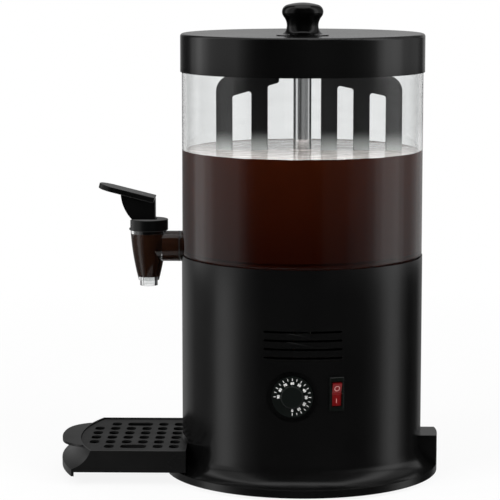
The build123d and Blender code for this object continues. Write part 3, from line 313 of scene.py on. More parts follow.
def filmedNylon(name, colour, film, coat, roughness, levels, fade):
    # moulded nylon that stands in the drink: a film of milk and steam greys it above the surface,
    # and the drink coats it below, taking over within the fade
    material, tree, output, place = newMaterial(name)
    low, high = levels
    streak = addNode(tree, "ShaderNodeMapping", {"Vector": place, "Scale": (1.0, 1.0, 0.25)})
    runs = addNode(tree, "ShaderNodeTexNoise",
                   {"Vector": streak.outputs["Vector"], "Scale": perMetre(patternSize["milkRun"]),
                    "Detail": 3.0})
    skin = addNode(tree, "ShaderNodeTexNoise",
                   {"Vector": place, "Scale": perMetre(patternSize["nylonSkin"]), "Detail": 2.0})
    parts = addNode(tree, "ShaderNodeSeparateXYZ", {"Vector": place})
    rise = addNode(tree, "ShaderNodeMapRange",
                   {"Value": parts.outputs["Z"], "From Min": high, "From Max": low},
                   interpolation_type="SMOOTHSTEP")
    uneven = addNode(tree, "ShaderNodeMapRange",
                     {"Value": runs.outputs["Fac"], "From Min": 0.3, "From Max": 0.7,
                      "To Min": 0.8, "To Max": 1.0})
    cover = addNode(tree, "ShaderNodeMath",
                    {0: rise.outputs["Result"], 1: uneven.outputs["Result"]}, operation="MULTIPLY")
    milky = addNode(tree, "ShaderNodeMix",
                    {"Factor": cover.outputs["Value"], "A": linear(colour), "B": linear(film)},
                    data_type="RGBA")
    dipped = addNode(tree, "ShaderNodeMapRange",
                     {"Value": parts.outputs["Z"], "From Min": low, "From Max": low - fade})
    tint = addNode(tree, "ShaderNodeMix",
                   {"Factor": dipped.outputs["Result"], "A": milky.outputs["Result"],
                    "B": linear(coat)}, data_type="RGBA")
    gloss = addNode(tree, "ShaderNodeMapRange",
                    {"Value": cover.outputs["Value"], "To Min": roughness, "To Max": 0.6})
    bump = addNode(tree, "ShaderNodeBump",
                   {"Height": skin.outputs["Fac"], "Strength": 0.1, "Distance": reliefDepth})
    shader = addNode(tree, "ShaderNodeBsdfPrincipled",
                     {"Base Color": tint.outputs["Result"], "Roughness": gloss.outputs["Result"],
                      "Normal": bump.outputs["Normal"], "IOR": 1.31})
    tree.links.new(shader.outputs["BSDF"], output.inputs["Surface"])
    return material


surfaceLevel = 0.3503  # height of the drink above the counter
evenGrain = (1.0, 1.0, 1.0)

finishes = {
    # plastics: colour, worn colour, roughness, grain in mm, relief and IOR;
    # the real skin is about 0.1 mm and is drawn coarser so that it shows.
    # The stirrer has the colours of the plastic, the film and the coat, and the heights of the film
    "base_black": mouldedPlastic("satinAbsBase", "#080808", "#0c0c0c", 0.20, 0.9, 0.06),
    "lid_black": mouldedPlastic("satinAbsLid", "#060606", "#090909", 0.14, 0.9, 0.05, 1.55),
    "knob_black": mouldedPlastic("polishedPhenolicKnob", "#030303", "#050505", 0.08, 1.5, 0.02, 1.42),
    "stirrer_black": filmedNylon("mouldedNylonStirrer", "#070707", "#b5b9b7", "#2d0d02", 0.30,
                                 levels=(surfaceLevel - 0.006, surfaceLevel + 0.022), fade=0.004),
    "tap_black": mouldedPlastic("mouldedNylonTap", "#060606", "#0a0a0a", 0.28, 0.7, 0.10),
    "tray_black": mouldedPlastic("satinAbsTray", "#0d0d0d", "#121212", 0.30, 0.9, 0.12),
    "grid_grey": mouldedPlastic("textureAbsGrid", "#161616", "#1b1b1b", 0.50, 0.6, 0.20),
    "dial_black": mouldedPlastic("mouldedAbsDial", "#080d0b", "#0b110e", 0.38, 0.6, 0.10),
    "switch_black": mouldedPlastic("polishedNylonSwitch", "#0a0d0b", "#0e110f", 0.20, 0.8, 0.05),
    "rocker_red": mouldedPlastic("tintedAcrylicRocker", "#63090b", "#710d0f", 0.16, 0.8, 0.05),
    "gland_black": mouldedPlastic("mouldedNylonGland", "#0c0c0c", "#141414", 0.35, 0.6, 0.12),
    "foot_rubber": mouldedPlastic("mouldedRubberFoot", "#101010", "#181818", 0.75, 0.5, 0.30),
    "gasket_rubber": mouldedPlastic("siliconeGasket", "#b9b5a9", "#c6c2b8", 0.55, 0.6, 0.15, 1.41),
    "terminal_white": mouldedPlastic("mouldedPolyamideTerminal", "#d2d0c6", "#dedcd3", 0.45, 0.6, 0.12),
    "thermostat_body": mouldedPlastic("mouldedPhenolicBody", "#211d19", "#2b2621", 0.42, 0.6, 0.15),
    "bush_white": mouldedPlastic("turnedAcetalBush", "#d9d8d2", "#e3e2dd", 0.40, 0.7, 0.08),
    # metals: colour, dull colour, roughness, grain along each axis, its size in mm and relief
    "plate_steel": workedMetal("zincPlatedSheet", "#b4b7ba", "#a3a7aa", 0.34, (1.0, 12.0, 12.0), 4.0, 0.1),
    "fastener_steel": workedMetal("zincPlatedScrew", "#bdbfc1", "#a9abad", 0.28, (1.0, 1.0, 5.0), 1.2, 0.1),
    "stainless": workedMetal("polishedStainless", "#ebebec", "#e1e2e2", 0.07, (14.0, 14.0, 1.0), 6.0, 0.02),
    "brass_part": workedMetal("turnedBrass", "#b98d4a", "#a57c3f", 0.28, (1.0, 1.0, 6.0), 1.5, 0.08),
    "motor_steel": workedMetal("paintedMotorCan", "#5a5c5e", "#4d4f51", 0.45, evenGrain, 1.2, 0.15),
    "gearbox_metal": workedMetal("dieCastAluminium", "#a2a4a6", "#8f9193", 0.48, evenGrain, 1.6, 0.25),
    "shaft_steel": workedMetal("groundSteelShaft", "#c3c4c6", "#b3b4b6", 0.16, (1.0, 1.0, 10.0), 3.0, 0.03),
    "spring_steel": workedMetal("drawnSpringWire", "#bcbdc0", "#a7a8ab", 0.24, evenGrain, 0.8, 0.05),
    # clear pieces: colour, colour of the haze and its roughness
    "jar_clear": castAcrylic("clearAcrylicJar", "#fbfcfc", "#f2f3f3", 0.015),
    "tap_clear": castAcrylic("clearAcrylicTap", "#f6f7f7", "#eceded", 0.02),
}
whiteInk = printedInk("padPrintWhite", "#f2f2f0", "#dcdcda")
rockerInk = printedInk("rockerMarkPink", "#cf9490", "#bf7f7b")
chocolate = drinkingChocolate("hotChocolate", "#160200", "#2d0d02", levels=(0.24, surfaceLevel + 0.015))
tapChocolate = drinkingChocolate("standingChocolate", "#170a04", "#211109", levels=(0.21, 0.27))
# the grey of the bare skin, which shows mostly at the back as painted shade of the lid, and the cream of
# the froth
milk = milkSkin("milkSkin", "#7b736d", "#fcf3ee")
for part in frame["record"]["subparts"]:
    paint(nodes[part["node"]], finishes[part["material_slot"]])
for name in ("jar", "tap_body", "tap_nozzle"):
    nodes[name].visible_shadow = False  # clear acrylic lets the lamps through
besideWalls = ["stem_seal", "plunger_seal", "lever_pin", "link_pin"]
besideWalls += [name for name in nodes if name.startswith("tap_")]
for name in besideWalls:
    nodes[name].visible_glossy = False  # so that the bowl mirrors only the studio
print("finishes on the nodes,", len(finishes))


# Drum: the shell with the normals of its true surfaces, so that the vents leave no wedges in its shine

drum = {
    "body": "base",
    "slot": "base_black",
    "wallRadius": 0.1296,
    "coveRadius": 0.022,  # of the hollow sweep from the wall to the foot
    "coveTop": 0.0324,
    "slack": 0.00003,
    "weld": 0.000003,
    "sameWay": 0.8,  # least agreement of a face with the true normal
}


def onWall(point):
    return abs(point.xy.length - drum["wallRadius"]) < drum["slack"]


def fromCove(point):
    # from the surface to the middle of the hollow sweep, across and up
    return drum["wallRadius"] + drum["coveRadius"] - point.xy.length, drum["coveTop"] - point.z


def onCove(point):
    across, up = fromCove(point)
    return up > -drum["slack"] and abs(math.hypot(across, up) - drum["coveRadius"]) < drum["slack"]


def trueNormal(point, wall):
    out = point.xy.normalized()
    if wall:
        return Vector((out.x, out.y, 0.0))
    across, up = fromCove(point)
    return Vector((out.x * across, out.y * across, up)).normalized()


def makeDrum():
    mesh = nodes["base_shell"].data.copy()
    mesh.name = "drumShell"
    normals = [Vector(corner.vector) for corner in mesh.corner_normals]
    for face in mesh.polygons:
        corners = [mesh.vertices[number].co for number in face.vertices]
        wall = all(onWall(point) for point in corners)
        if wall or all(onCove(point) for point in corners):
            for loop, point in zip(face.loop_indices, corners):
                better = trueNormal(point, wall)
                if better.dot(face.normal) > drum["sameWay"]:
                    normals[loop] = better
    # an attribute carries the normals through the weld
    kept = mesh.attributes.new("trueNormal", "FLOAT_VECTOR", "CORNER")
    kept.data.foreach_set("vector", [value for normal in normals for value in normal])
    weld(mesh, drum["weld"])
    normals = [Vector(corner.vector) for corner in mesh.attributes["trueNormal"].data]
    mesh.attributes.remove(mesh.attributes["trueNormal"])
    mesh.normals_split_custom_set(normals)
    return newObject("drumShell", mesh)


drumShell = makeDrum()
paint(drumShell, finishes[drum["slot"]])
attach(drumShell, drum["body"])
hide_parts("base_shell")
print("drum made from the shell")


# Drink in the bowl

drink = {
    "body": "bowl",
    "radius": 0.12565,  # a hair into the bowl's wall, so that no air shows between them
    "lowRadius": 0.12295,
    "stepLow": 0.2415,
    "stepHigh": 0.2442,
    "bottom": 0.2246,
    "columnRadius": 0.0101,
    "rings": 110,
    "spokes": 240,
    "swell": 0.0004,  # height of the ripples left by the stirrer
    "twist": 9.0,  # radians by which the broad ripples trail, for each metre out
    "broadScale": 55,
    "broadLayer": 0.3,
    "fineScale": 160,
    "fineLayer": 0.7,
    "fineShare": 0.45,
    "meniscus": 0.0009,  # height at the wall and at the column
    "wallReach": 0.003,
    "columnReach": 0.002,
}


def rippleHeight(x, y):
    radius = math.hypot(x, y)
    spin = math.atan2(y, x) + drink["twist"] * radius
    turned = Vector((radius * math.cos(spin), radius * math.sin(spin), drink["broadLayer"]))
    broad = noise.noise(turned * drink["broadScale"])
    fine = noise.noise(Vector((x, y, drink["fineLayer"])) * drink["fineScale"])
    edge = math.exp(-(drink["radius"] - radius) / drink["wallReach"])
    edge += math.exp(-(radius - drink["columnRadius"]) / drink["columnReach"])
    return drink["swell"] * (broad + drink["fineShare"] * fine) + drink["meniscus"] * edge


def makeDrink():
    shape = bmesh.new()
    rows = []
    for number in range(drink["rings"] + 1):
        share = number / drink["rings"]
        radius = drink["columnRadius"] + (drink["radius"] - drink["columnRadius"]) * share
        row = []
        for spoke in range(drink["spokes"]):
            turn = 2 * math.pi * spoke / drink["spokes"]
            x = radius * math.cos(turn)
            y = radius * math.sin(turn)
            row.append(shape.verts.new((x, y, surfaceLevel + rippleHeight(x, y))))
        rows.append(row)
    side = [(drink["radius"], drink["stepHigh"]), (drink["lowRadius"], drink["stepLow"]),
            (drink["lowRadius"], drink["bottom"]), (drink["columnRadius"], drink["bottom"])]
    rows += [ring(shape, radius, level, drink["spokes"]) for radius, level in side]
    rows.append(rows[0])
    for number, (inner, outer) in enumerate(zip(rows, rows[1:])):
        for face in bridge(shape, inner, outer):
            face.material_index = 1 if number < drink["rings"] else 0  # milk on top, chocolate elsewhere
    return newObject("hotChocolate", smoothMesh("hotChocolate", shape))


bowlDrink = makeDrink()
paint(bowlDrink, chocolate)
bowlDrink.data.materials.append(milk)
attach(bowlDrink, drink["body"])
print("drink in the bowl made")


# Drink standing in the tap

tapDrink = {
    "body": "bowl",
    "axis": (-0.1656, 0.0, 0.2456),
    # three points of the curved bore, radius and height from the tap's centre
    "boreTop": (0.0168, 0.0175),
    "boreMiddle": (0.0138, -0.0106),
    "boreSeat": (0.0092, -0.0330),
    "level": 0.0138,
    "overlap": 0.00005,  # into the clear wall, so that no air shows between them
    "pipeRadius": 0.0137,
    "pipeStart": 0.0150,
    "pipeEnd": 0.0410,  # into the bowl, so that the clear shoulder looks full
    "rings": 24,
    "spokes": 96,
}


def circleThrough(first, second, third):
    # centre and radius of the circle through three points
    ax, ay = first
    bx, by = second
    cx, cy = third
    scale = 2 * (ax * (by - cy) + bx * (cy - ay) + cx * (ay - by))
    a2, b2, c2 = ax * ax + ay * ay, bx * bx + by * by, cx * cx + cy * cy
    x = (a2 * (by - cy) + b2 * (cy - ay) + c2 * (ay - by)) / scale
    y = (a2 * (cx - bx) + b2 * (ax - cx) + c2 * (bx - ax)) / scale
    return x, y, math.hypot(ax - x, ay - y)


def boreProfile():
    points = (tapDrink["boreTop"], tapDrink["boreMiddle"], tapDrink["boreSeat"])
    centre, height, radius = circleThrough(*points)
    side = 1 if centre < 0 else -1
    low = tapDrink["boreSeat"][1]
    profile = [(0.0, tapDrink["level"])]
    for number in range(tapDrink["rings"] + 1):
        level = tapDrink["level"] + (low - tapDrink["level"]) * number / tapDrink["rings"]
        across = centre + side * math.sqrt(radius ** 2 - (level - height) ** 2)
        profile.append((across + tapDrink["overlap"], level))
    return profile + [(0.0, low)]


def spun(profile):
    # closed skin turned round the Z axis, from a profile that starts and ends on it
    shape = bmesh.new()
    rows = [ring(shape, radius, level, tapDrink["spokes"]) for radius, level in profile]
    for upper, lower in zip(rows, rows[1:]):
        bridge(shape, upper, lower)
    return shape


def makeTapDrink():
    barrel = spun(boreProfile())
    wide = tapDrink["pipeRadius"] + tapDrink["overlap"]
    start = tapDrink["pipeStart"]
    end = tapDrink["pipeEnd"]
    pipe = spun(((0.0, start), (wide, start), (wide, end), (0.0, end)))
    pipe.transform(Matrix.Rotation(math.radians(90), 4, "Y"))
    pieces = []
    for name, shape in (("barrelChocolate", barrel), ("pipeChocolate", pipe)):
        mesh = smoothMesh(name, shape)
        mesh.transform(Matrix.Translation(tapDrink["axis"]))
        pieces.append(newObject(name, mesh))
    return pieces


for fill in makeTapDrink():
    paint(fill, tapChocolate)
    fill.visible_glossy = False
    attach(fill, tapDrink["body"])
print("drink in the tap made")


# Closing spring, which shortens against the cap as the plunger lifts: here a welded, smooth-shaded copy of
# the tap's spring, not made to shorten

tapSpring = {
    "body": "bowl",
    "slot": "spring_steel",
    "top": (-0.1656, 0.0, 0.2611),
    "keep": 0.904,  # of its length at full lift
    "weld": 0.000002,
}


def makeTapSpring():
    mesh = nodes["tap_spring"].data.copy()
    mesh.name = "closingSpring"
    weld(mesh, tapSpring["weld"])
    mesh.shade_smooth()
    return newObject("closingSpring", mesh)


closingSpring = makeTapSpring()
paint(closingSpring, finishes[tapSpring["slot"]])
closingSpring.visible_glossy = False
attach(closingSpring, tapSpring["body"])
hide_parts("tap_spring")
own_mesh(closingSpring)
print("closing spring made")


# Marks on the dial: ticks from a node tree, numbers from text

dialMarks = {
    "body": "dial",
    "angle": math.radians(-4.2),  # of the dial round the drum, from the middle of the front
    "tickRadius": 0.0182,
    "tickLength": 0.0026,
    "tickWidth": 0.00054,
    "oddWidth": 0.8,  # share of the width that every other tick has
    "tickRise": 0.00012,
    "firstTick": math.radians(-90),
    "sweep": math.radians(270),
    "ticks": 19,
    "numberRadius": 0.0142,
    "numberSize": 0.0037,
    "numberWeight": 0.00016,
    "curveSteps": 3,
    "numbers": [str(10 * step) for step in range(10)],
}


def dialLevel():
    # height of the dial's middle
    low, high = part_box("dial_spindle")
    return ((low + high) / 2).z


def skirtFace():
    # furthest point of the skirt towards the front, found outside the raised grip
    turn = Matrix.Rotation(-dialMarks["angle"], 4, "Z")
    level = dialLevel()
    best = 0.0
    for vertex in nodes["dial_knob"].data.vertices:
        point = turn @ vertex.co
        if math.hypot(point.x, point.z - level) > dialMarks["tickRadius"]:
            best = min(best, point.y)
    return best


def tickTree():
    tree = bpy.data.node_groups.new("dialTicks", "GeometryNodeTree")
    measures = ("Radius", "Sweep", "First", "Length", "Width", "Rise")
    sockets = [("Ticks", "NodeSocketInt")]
    sockets += [(name, "NodeSocketFloat") for name in measures]
    sockets.append(("Ink", "NodeSocketMaterial"))
    for name, kind in sockets:
        tree.interface.new_socket(name, in_out="INPUT", socket_type=kind)
    tree.interface.new_socket("Geometry", in_out="OUTPUT", socket_type="NodeSocketGeometry")
    given = addNode(tree, "NodeGroupInput").outputs
    spots = addNode(tree, "GeometryNodeMeshLine", {"Count": given["Ticks"], "Offset": (0.0, 0.0, 0.0)})
    index = addNode(tree, "GeometryNodeInputIndex").outputs["Index"]
    last = addNode(tree, "ShaderNodeMath", {0: given["Ticks"], 1: 1.0}, operation="SUBTRACT")
    share = addNode(tree, "ShaderNodeMath", {0: index, 1: last.outputs["Value"]}, operation="DIVIDE")
    turn = addNode(tree, "ShaderNodeMath",
                   {0: share.outputs["Value"], 1: given["Sweep"], 2: given["First"]},
                   operation="MULTIPLY_ADD")
    aim = addNode(tree, "ShaderNodeCombineXYZ", {"Z": turn.outputs["Value"]})
    odd = addNode(tree, "ShaderNodeMath", {0: index, 1: 2.0}, operation="MODULO")
    thinner = addNode(tree, "ShaderNodeMapRange",
                      {"Value": odd.outputs["Value"], "To Min": 1.0, "To Max": dialMarks["oddWidth"]})
    size = addNode(tree, "ShaderNodeCombineXYZ", {"X": 1.0, "Y": thinner.outputs["Result"], "Z": 1.0})
    block = addNode(tree, "ShaderNodeCombineXYZ",
                    {"X": given["Length"], "Y": given["Width"], "Z": given["Rise"]})
    tick = addNode(tree, "GeometryNodeMeshCube", {"Size": block.outputs["Vector"]})
    out = addNode(tree, "ShaderNodeCombineXYZ", {"X": given["Radius"]})
    moved = addNode(tree, "GeometryNodeTransform",
                    {"Geometry": tick.outputs["Mesh"], "Translation": out.outputs["Vector"]})
    copies = addNode(tree, "GeometryNodeInstanceOnPoints",
                     {"Points": spots.outputs["Mesh"], "Instance": moved.outputs["Geometry"],
                      "Rotation": aim.outputs["Vector"], "Scale": size.outputs["Vector"]})
    real = addNode(tree, "GeometryNodeRealizeInstances", {"Geometry": copies.outputs["Instances"]})
    inked = addNode(tree, "GeometryNodeSetMaterial",
                    {"Geometry": real.outputs["Geometry"], "Material": given["Ink"]})
    addNode(tree, "NodeGroupOutput", {"Geometry": inked.outputs["Geometry"]})
    return tree


def fromTree(name, tree, values):
    piece = newObject(name, bpy.data.meshes.new(name))
    modifier = piece.modifiers.new(name, "NODES")
    modifier.node_group = tree
    for item in tree.interface.items_tree:
        if item.in_out == "INPUT":
            modifier[item.identifier] = values[item.name]
    made = finalMesh(piece)
    piece.modifiers.clear()
    piece.data = made
    return piece


def faceOut(depth):
    # from flat on the table, X right and Y up, to upright on the dial's face
    turn = Matrix.Rotation(dialMarks["angle"], 4, "Z")
    lift = Matrix.Translation((0.0, depth, dialLevel()))
    return turn @ lift @ Matrix.Rotation(math.radians(90), 4, "X")


skirtDepth = skirtFace()
ticks = fromTree("dialTicks", tickTree(), {
    "Ticks": dialMarks["ticks"], "Radius": dialMarks["tickRadius"], "Sweep": dialMarks["sweep"],
    "First": dialMarks["firstTick"], "Length": dialMarks["tickLength"], "Width": dialMarks["tickWidth"],
    "Rise": dialMarks["tickRise"], "Ink": whiteInk})
ticks.data.transform(faceOut(skirtDepth))
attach(ticks, dialMarks["body"])


def wordMesh(name, word, size, rise):
    text = bpy.data.curves.new(name, "FONT")
    text.body = word
    text.size = size
    text.align_x = "CENTER"
    text.align_y = "CENTER"
    text.extrude = rise
    text.offset = dialMarks["numberWeight"]
    text.resolution_u = dialMarks["curveSteps"]
    holder = newObject(name + "Text", text)
    mesh = finalMesh(holder)
    bpy.data.objects.remove(holder)
    return mesh


def makeNumbers():
    shape = bmesh.new()
    radius = dialMarks["numberRadius"]
    for step, word in enumerate(dialMarks["numbers"]):
        turn = dialMarks["firstTick"] + dialMarks["sweep"] * step / (len(dialMarks["numbers"]) - 1)
        mesh = wordMesh("number" + word, word, dialMarks["numberSize"], dialMarks["tickRise"])
        spot = Matrix.Translation((radius * math.cos(turn), radius * math.sin(turn), 0))
        mesh.transform(spot @ Matrix.Rotation(turn - math.radians(90), 4, "Z"))
        shape.from_mesh(mesh)
    mesh = flatMesh("dialNumbers", shape)
    mesh.transform(faceOut(skirtDepth))
    return newObject("dialNumbers", mesh)


numbers = makeNumbers()
paint(numbers, whiteInk)
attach(numbers, dialMarks["body"])
print("dial marked")


# Marks on the rocker: a ring and a bar laid on its two faces

rockerMarks = {
    "body": "rocker",
    "angle": math.radians(16.2),  # of the switch round the drum, from the middle of the front
    "ringHeight": 0.0062,  # above the middle of the rocker
    "ringRadius": 0.0029,
    "barHeight": -0.0070,
    "barHalf": 0.0023,
    "line": 0.0007,
    "rise": 0.00005,
    "segments": 48,
    "reach": 0.05,  # in front of the rocker, where the search for its face starts
}


def onRocker(across, up):
    turn = Matrix.Rotation(rockerMarks["angle"], 4, "Z")
    low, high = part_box("switch_rocker")
    start = turn @ Vector((across, low.y - rockerMarks["reach"], (low.z + high.z) / 2 + up))
    inwards = turn @ Vector((0.0, 1.0, 0.0))
    point, normal = nodes["switch_rocker"].ray_cast(start, inwards)[1:3]
    return point + normal * rockerMarks["rise"]


def makeRockerMarks():
    shape = bmesh.new()
    inside = rockerMarks["ringRadius"] - rockerMarks["line"]
    rims = []
    for radius in (inside, rockerMarks["ringRadius"]):
        rim = []
        for step in range(rockerMarks["segments"]):
            turn = 2 * math.pi * step / rockerMarks["segments"]
            up = rockerMarks["ringHeight"] + radius * math.sin(turn)
            rim.append(shape.verts.new(onRocker(radius * math.cos(turn), up)))
        rims.append(rim)
    bridge(shape, *rims)
    half = rockerMarks["line"] / 2
    low = rockerMarks["barHeight"] - rockerMarks["barHalf"]
    high = rockerMarks["barHeight"] + rockerMarks["barHalf"]
    corners = ((-half, low), (half, low), (half, high), (-half, high))
    shape.faces.new([shape.verts.new(onRocker(across, up)) for across, up in corners])
    return newObject("rockerMarks", flatMesh("rockerMarks", shape))


rockerPrint = makeRockerMarks()
paint(rockerPrint, rockerInk)
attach(rockerPrint, rockerMarks["body"])
print("rocker marked")


# Camera at the photograph's viewing angle

view = {
    "place": (0.0, -2.41705, 0.57286),
    "tiltDown": math.radians(7.81),
    "turnLeft": math.radians(1.33),
    "lens": 162.56,
    "sensor": 36.0,
    "farthest": 60.0,
}
lens = bpy.data.cameras.new("photoCamera")
lens.lens = view["lens"]
lens.sensor_width = view["sensor"]
lens.clip_end = view["farthest"]
camera = newObject("photoCamera", lens)
camera.location = view["place"]
camera.rotation_euler = (math.radians(90) - view["tiltDown"], 0.0, view["turnLeft"])
scene.camera = camera


# Studio: white floor, even world, three soft lamps and the two cloths of a light tent

studio = {
    "floorSize": 30.0,
    "paper": ("#fbfbfb", "#f6f6f6"),
    "white": "#ffffff",
    "fill": 0.45,  # world strength for matt surfaces
    "lamps": (
        # name, place, size, watts
        ("leftSoftbox", (-1.7, -1.5, 1.5), 1.3, 34.0),
        ("rightSoftbox", (1.9, -1.2, 1.4), 1.3, 27.0),
        ("topSoftbox", (0.1, -0.1, 2.2), 1.6, 10.0),
    ),
    "aim": (0.0, 0.0, 0.22),
    # share of the floor's look that is plain white: least near the object, all of it further out
    "glowLeast": 0.88,
    "glowStart": 0.35,
    "glowFull": 1.3,
    "tentRadius": 0.72,
    "matRadius": 0.10,  # hole in the cloth's floor
    "clothColumns": 180,
    "cloth": "#0a0a0a",
    # heights on the cloth that gloss shows, with the panels there and the share of their light:
    # from below, what downward faces, the drum, the drink, the clear bowl and the lid mirror
    "glossRows": (
        (-0.5, "tablePanels", 1.0), (-0.24, "tablePanels", 1.0),
        (-0.20, "lowPanels", 1.0), (0.136, "lowPanels", 1.0),
        (0.150, "midPanels", 1.0), (0.305, "midPanels", 1.0),
        (0.325, "highPanels", 0.45), (0.390, "highPanels", 0.45),
        (0.402, "highPanels", 1.0), (1.9, "highPanels", 1.0),
    ),
    "glassRows": ((-0.5, "glassPanels"), (1.9, "glassPanels")),
    # light that the cloth lets through, by the turn in degrees that the wall mirrors, left being negative
    "tablePanels": ((-180, 0.38), (180, 0.38)),
    "lowPanels": (
        (-180, 0.22), (-165, 0.26), (-150, 0.3), (-138, 0.24), (-127, 0.13), (-104, 0.14),
        (-96, 0.24), (-88, 0.8), (-80, 1.0), (-73, 0.8), (-65, 0.38), (-58, 0.16),
        (-50, 0.07), (-40, 0.0), (62, 0.0), (73, 0.05), (80, 0.16), (88, 0.52), (96, 0.76),
        (104, 0.6), (115, 0.12), (125, 0.0), (145, 0.03), (160, 0.18), (180, 0.22),
    ),
    "midPanels": (
        (-180, 0.3), (-165, 0.14), (-150, 0.17), (-140, 0.2), (-133, 0.28), (-122, 0.85),
        (-113, 1.0), (-103, 0.78), (-92, 0.5), (-66, 0.42), (-59, 0.2), (-52, 0.06),
        (-44, 0.01), (-30, 0.0), (15, 0.0), (25, 0.05), (42, 0.06), (50, 0.14), (62, 0.2),
        (70, 0.32), (79, 0.7), (87, 1.0), (97, 1.0), (104, 1.0), (112, 0.7), (119, 0.4),
        (127, 0.32), (135, 0.36), (147, 0.45), (160, 0.4), (180, 0.3),
    ),
    "highPanels": (
        (-180, 0.38), (-160, 0.1), (-150, 0.04), (-143, 0.03), (-136, 0.06), (-126, 0.42),
        (-114, 1.0), (-106, 0.72), (-97, 0.47), (-88, 0.44), (-66, 0.48), (-59, 0.26),
        (-52, 0.11), (-44, 0.03), (-30, 0.0), (-14, 0.01), (14, 0.035), (40, 0.03),
        (55, 0.06), (65, 0.11), (72, 0.22), (79, 0.66), (86, 1.0), (97, 1.0), (104, 0.85),
        (112, 0.42), (124, 0.3), (136, 0.24), (146, 0.1), (152, 0.05), (165, 0.3), (180, 0.38),
    ),
    # the same for what is seen through the bowl, by the cloth's own turn, open at the back
    "glassPanels": (
        (-180, 1.0), (-142, 1.0), (-130, 0.1), (-100, 0.05), (-88, 0.35), (-74, 1.0),
        (-66, 1.0), (-58, 0.4), (-46, 0.07), (-20, 0.05), (-8, 0.2), (5, 0.28), (24, 0.28),
        (36, 0.2), (61, 0.25), (75, 0.5), (88, 0.9), (96, 0.9), (108, 0.12), (131, 0.06),
        (142, 1.0), (180, 1.0),
    ),
}


def seenDirectly(tree):
    # 1 for the rays that show the background, straight or in gloss and glass
    rays = addNode(tree, "ShaderNodeLightPath").outputs
    outside = addNode(tree, "ShaderNodeMath",
                      {0: rays["Is Camera Ray"], 1: rays["Is Glossy Ray"]}, operation="MAXIMUM")
    both = addNode(tree, "ShaderNodeMath",
                   {0: outside.outputs["Value"], 1: rays["Is Transmission Ray"]}, operation="MAXIMUM")
    return both.outputs["Value"]


def makeWorld():
    world = bpy.data.worlds.new("studioWorld")
    world.use_nodes = True
    tree = world.node_tree
    tree.nodes.clear()
    level = addNode(tree, "ShaderNodeMapRange",
                    {"Value": seenDirectly(tree), "To Min": studio["fill"], "To Max": 1.0})
    glow = addNode(tree, "ShaderNodeBackground",
                   {"Color": linear(studio["white"]), "Strength": level.outputs["Result"]})
    addNode(tree, "ShaderNodeOutputWorld", {"Surface": glow.outputs["Background"]})
    scene.world = world


def makeFloor():
    half = studio["floorSize"] / 2
    corners = [(-half, -half, 0), (half, -half, 0), (half, half, 0), (-half, half, 0)]
    mesh = bpy.data.meshes.new("floor")
    mesh.from_pydata(corners, [], [(0, 1, 2, 3)])
    floor = newObject("floor", mesh)
    material, tree, output, place = newMaterial("paperFloor")
    light, shaded = studio["paper"]
    paper = addNode(tree, "ShaderNodeTexNoise",
                    {"Vector": place, "Scale": perMetre(patternSize["paperCloud"]), "Detail": 2.0})
    tint = addNode(tree, "ShaderNodeMix",
                   {"Factor": paper.outputs["Fac"], "A": linear(light), "B": linear(shaded)},
                   data_type="RGBA")
    matt = addNode(tree, "ShaderNodeBsdfDiffuse", {"Color": tint.outputs["Result"]})
    glow = addNode(tree, "ShaderNodeEmission", {"Color": linear(studio["white"]), "Strength": 1.0})
    away = addNode(tree, "ShaderNodeVectorMath", {0: place}, operation="LENGTH")
    share = addNode(tree, "ShaderNodeMapRange",
                    {"Value": away.outputs["Value"], "From Min": studio["glowStart"],
                     "From Max": studio["glowFull"], "To Min": studio["glowLeast"], "To Max": 1.0})
    seen = addNode(tree, "ShaderNodeMath",
                   {0: seenDirectly(tree), 1: share.outputs["Result"]}, operation="MULTIPLY")
    mixed = addNode(tree, "ShaderNodeMixShader",
                    {0: seen.outputs["Value"], 1: matt.outputs["BSDF"], 2: glow.outputs["Emission"]})
    tree.links.new(mixed.outputs["Shader"], output.inputs["Surface"])
    paint(floor, material)
    floor.visible_glossy = False


def makeLamps():
    for name, place, size, watts in studio["lamps"]:
        lamp = bpy.data.lights.new(name, "AREA")
        lamp.energy = watts
        lamp.size = size
        holder = newObject(name, lamp)
        holder.location = place
        aim = Vector(studio["aim"]) - Vector(place)
        holder.rotation_euler = aim.to_track_quat("-Z", "Y").to_euler()
        holder.visible_camera = False
        holder.visible_glossy = False


def smooth(value, low, high):
    share = min(1.0, max(0.0, (value - low) / (high - low)))
    return share * share * (3 - 2 * share)


def panelLight(panels, turn):
    for (before, first), (after, second) in zip(panels, panels[1:]):
        if before <= turn <= after:
            return first + (second - first) * smooth(turn, before, after)
    return panels[-1][1]


def mirroredAt(turn):
    # turn of the cloth that the camera finds in the upright wall,
    # at the spot where an eye far off would find the given turn
    radius = drum["wallRadius"]
    eye = Vector(view["place"]).xy
    sight = (Vector((radius * math.sin(math.radians(turn / 2)), 0.0)) - eye).normalized()
    along = -eye.dot(sight)
    wall = eye + sight * (along - math.sqrt(along ** 2 - eye.length_squared + radius ** 2))
    back = sight.reflect(wall.normalized())
    along = wall.dot(back)
    met = wall + back * (math.sqrt(along ** 2 + studio["tentRadius"] ** 2 - radius ** 2) - along)
    return math.degrees(math.atan2(met.x, -met.y))


def mirrored(panels, share):
    return [(mirroredAt(turn), light * share) for turn, light in panels]


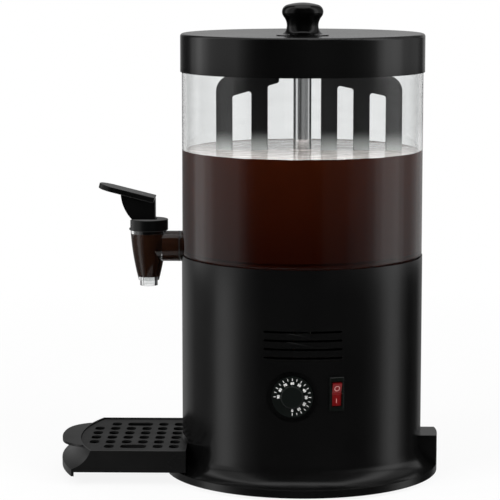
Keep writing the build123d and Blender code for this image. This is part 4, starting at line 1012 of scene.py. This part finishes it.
def clothMesh(name, rows):
    # a flat ring round the object and an upright wall, with the shade of the cloth at each point
    columns = studio["clothColumns"]
    rings = [(studio["matRadius"], *rows[0])] + [(studio["tentRadius"], *row) for row in rows]
    places = []
    shades = []
    for radius, level, panels in rings:
        for column in range(columns):
            turn = 360 * column / columns - 180
            way = math.radians(turn)
            places.append((radius * math.sin(way), -radius * math.cos(way), level))
            shades.append(1 - panelLight(panels, turn))
    faces = []
    for row in range(len(rings) - 1):
        for column in range(columns):
            after = (column + 1) % columns
            low = row * columns
            faces.append((low + column, low + after, low + columns + after, low + columns + column))
    mesh = bpy.data.meshes.new(name)
    mesh.from_pydata(places, [], faces)
    shade = mesh.attributes.new("shade", "FLOAT", "POINT")
    for number, value in enumerate(shades):
        shade.data[number].value = value
    return mesh


def makeTent(name, rows, seenIn):
    # dark cloth round the table, seen only in gloss or only through glass:
    # it gives the dark and light bands
    tent = newObject(name, clothMesh(name, rows))
    material, tree, output = newMaterial(name)[:3]
    dark = addNode(tree, "ShaderNodeAttribute", attribute_name="shade")
    bounces = addNode(tree, "ShaderNodeLightPath").outputs["Diffuse Depth"]
    # no cloth for rays that have met a matt surface
    first = addNode(tree, "ShaderNodeMath", {0: bounces, 1: 0.5}, operation="LESS_THAN")
    cover = addNode(tree, "ShaderNodeMath",
                    {0: dark.outputs["Fac"], 1: first.outputs["Value"]}, operation="MULTIPLY")
    gap = addNode(tree, "ShaderNodeBsdfTransparent")
    cloth = addNode(tree, "ShaderNodeEmission", {"Color": linear(studio["cloth"]), "Strength": 1.0})
    mixed = addNode(tree, "ShaderNodeMixShader",
                    {0: cover.outputs["Value"], 1: gap.outputs["BSDF"], 2: cloth.outputs["Emission"]})
    tree.links.new(mixed.outputs["Shader"], output.inputs["Surface"])
    paint(tent, material)
    tent.visible_camera = False
    tent.visible_diffuse = False
    tent.visible_glossy = seenIn == "gloss"
    tent.visible_transmission = seenIn == "glass"
    tent.visible_shadow = False


makeWorld()
makeFloor()
makeLamps()
glossRows = [(level, mirrored(studio[panels], share)) for level, panels, share in studio["glossRows"]]
glassRows = [(level, studio[panels]) for level, panels in studio["glassRows"]]
makeTent("glossTent", glossRows, "gloss")
makeTent("glassTent", glassRows, "glass")
print("studio set")
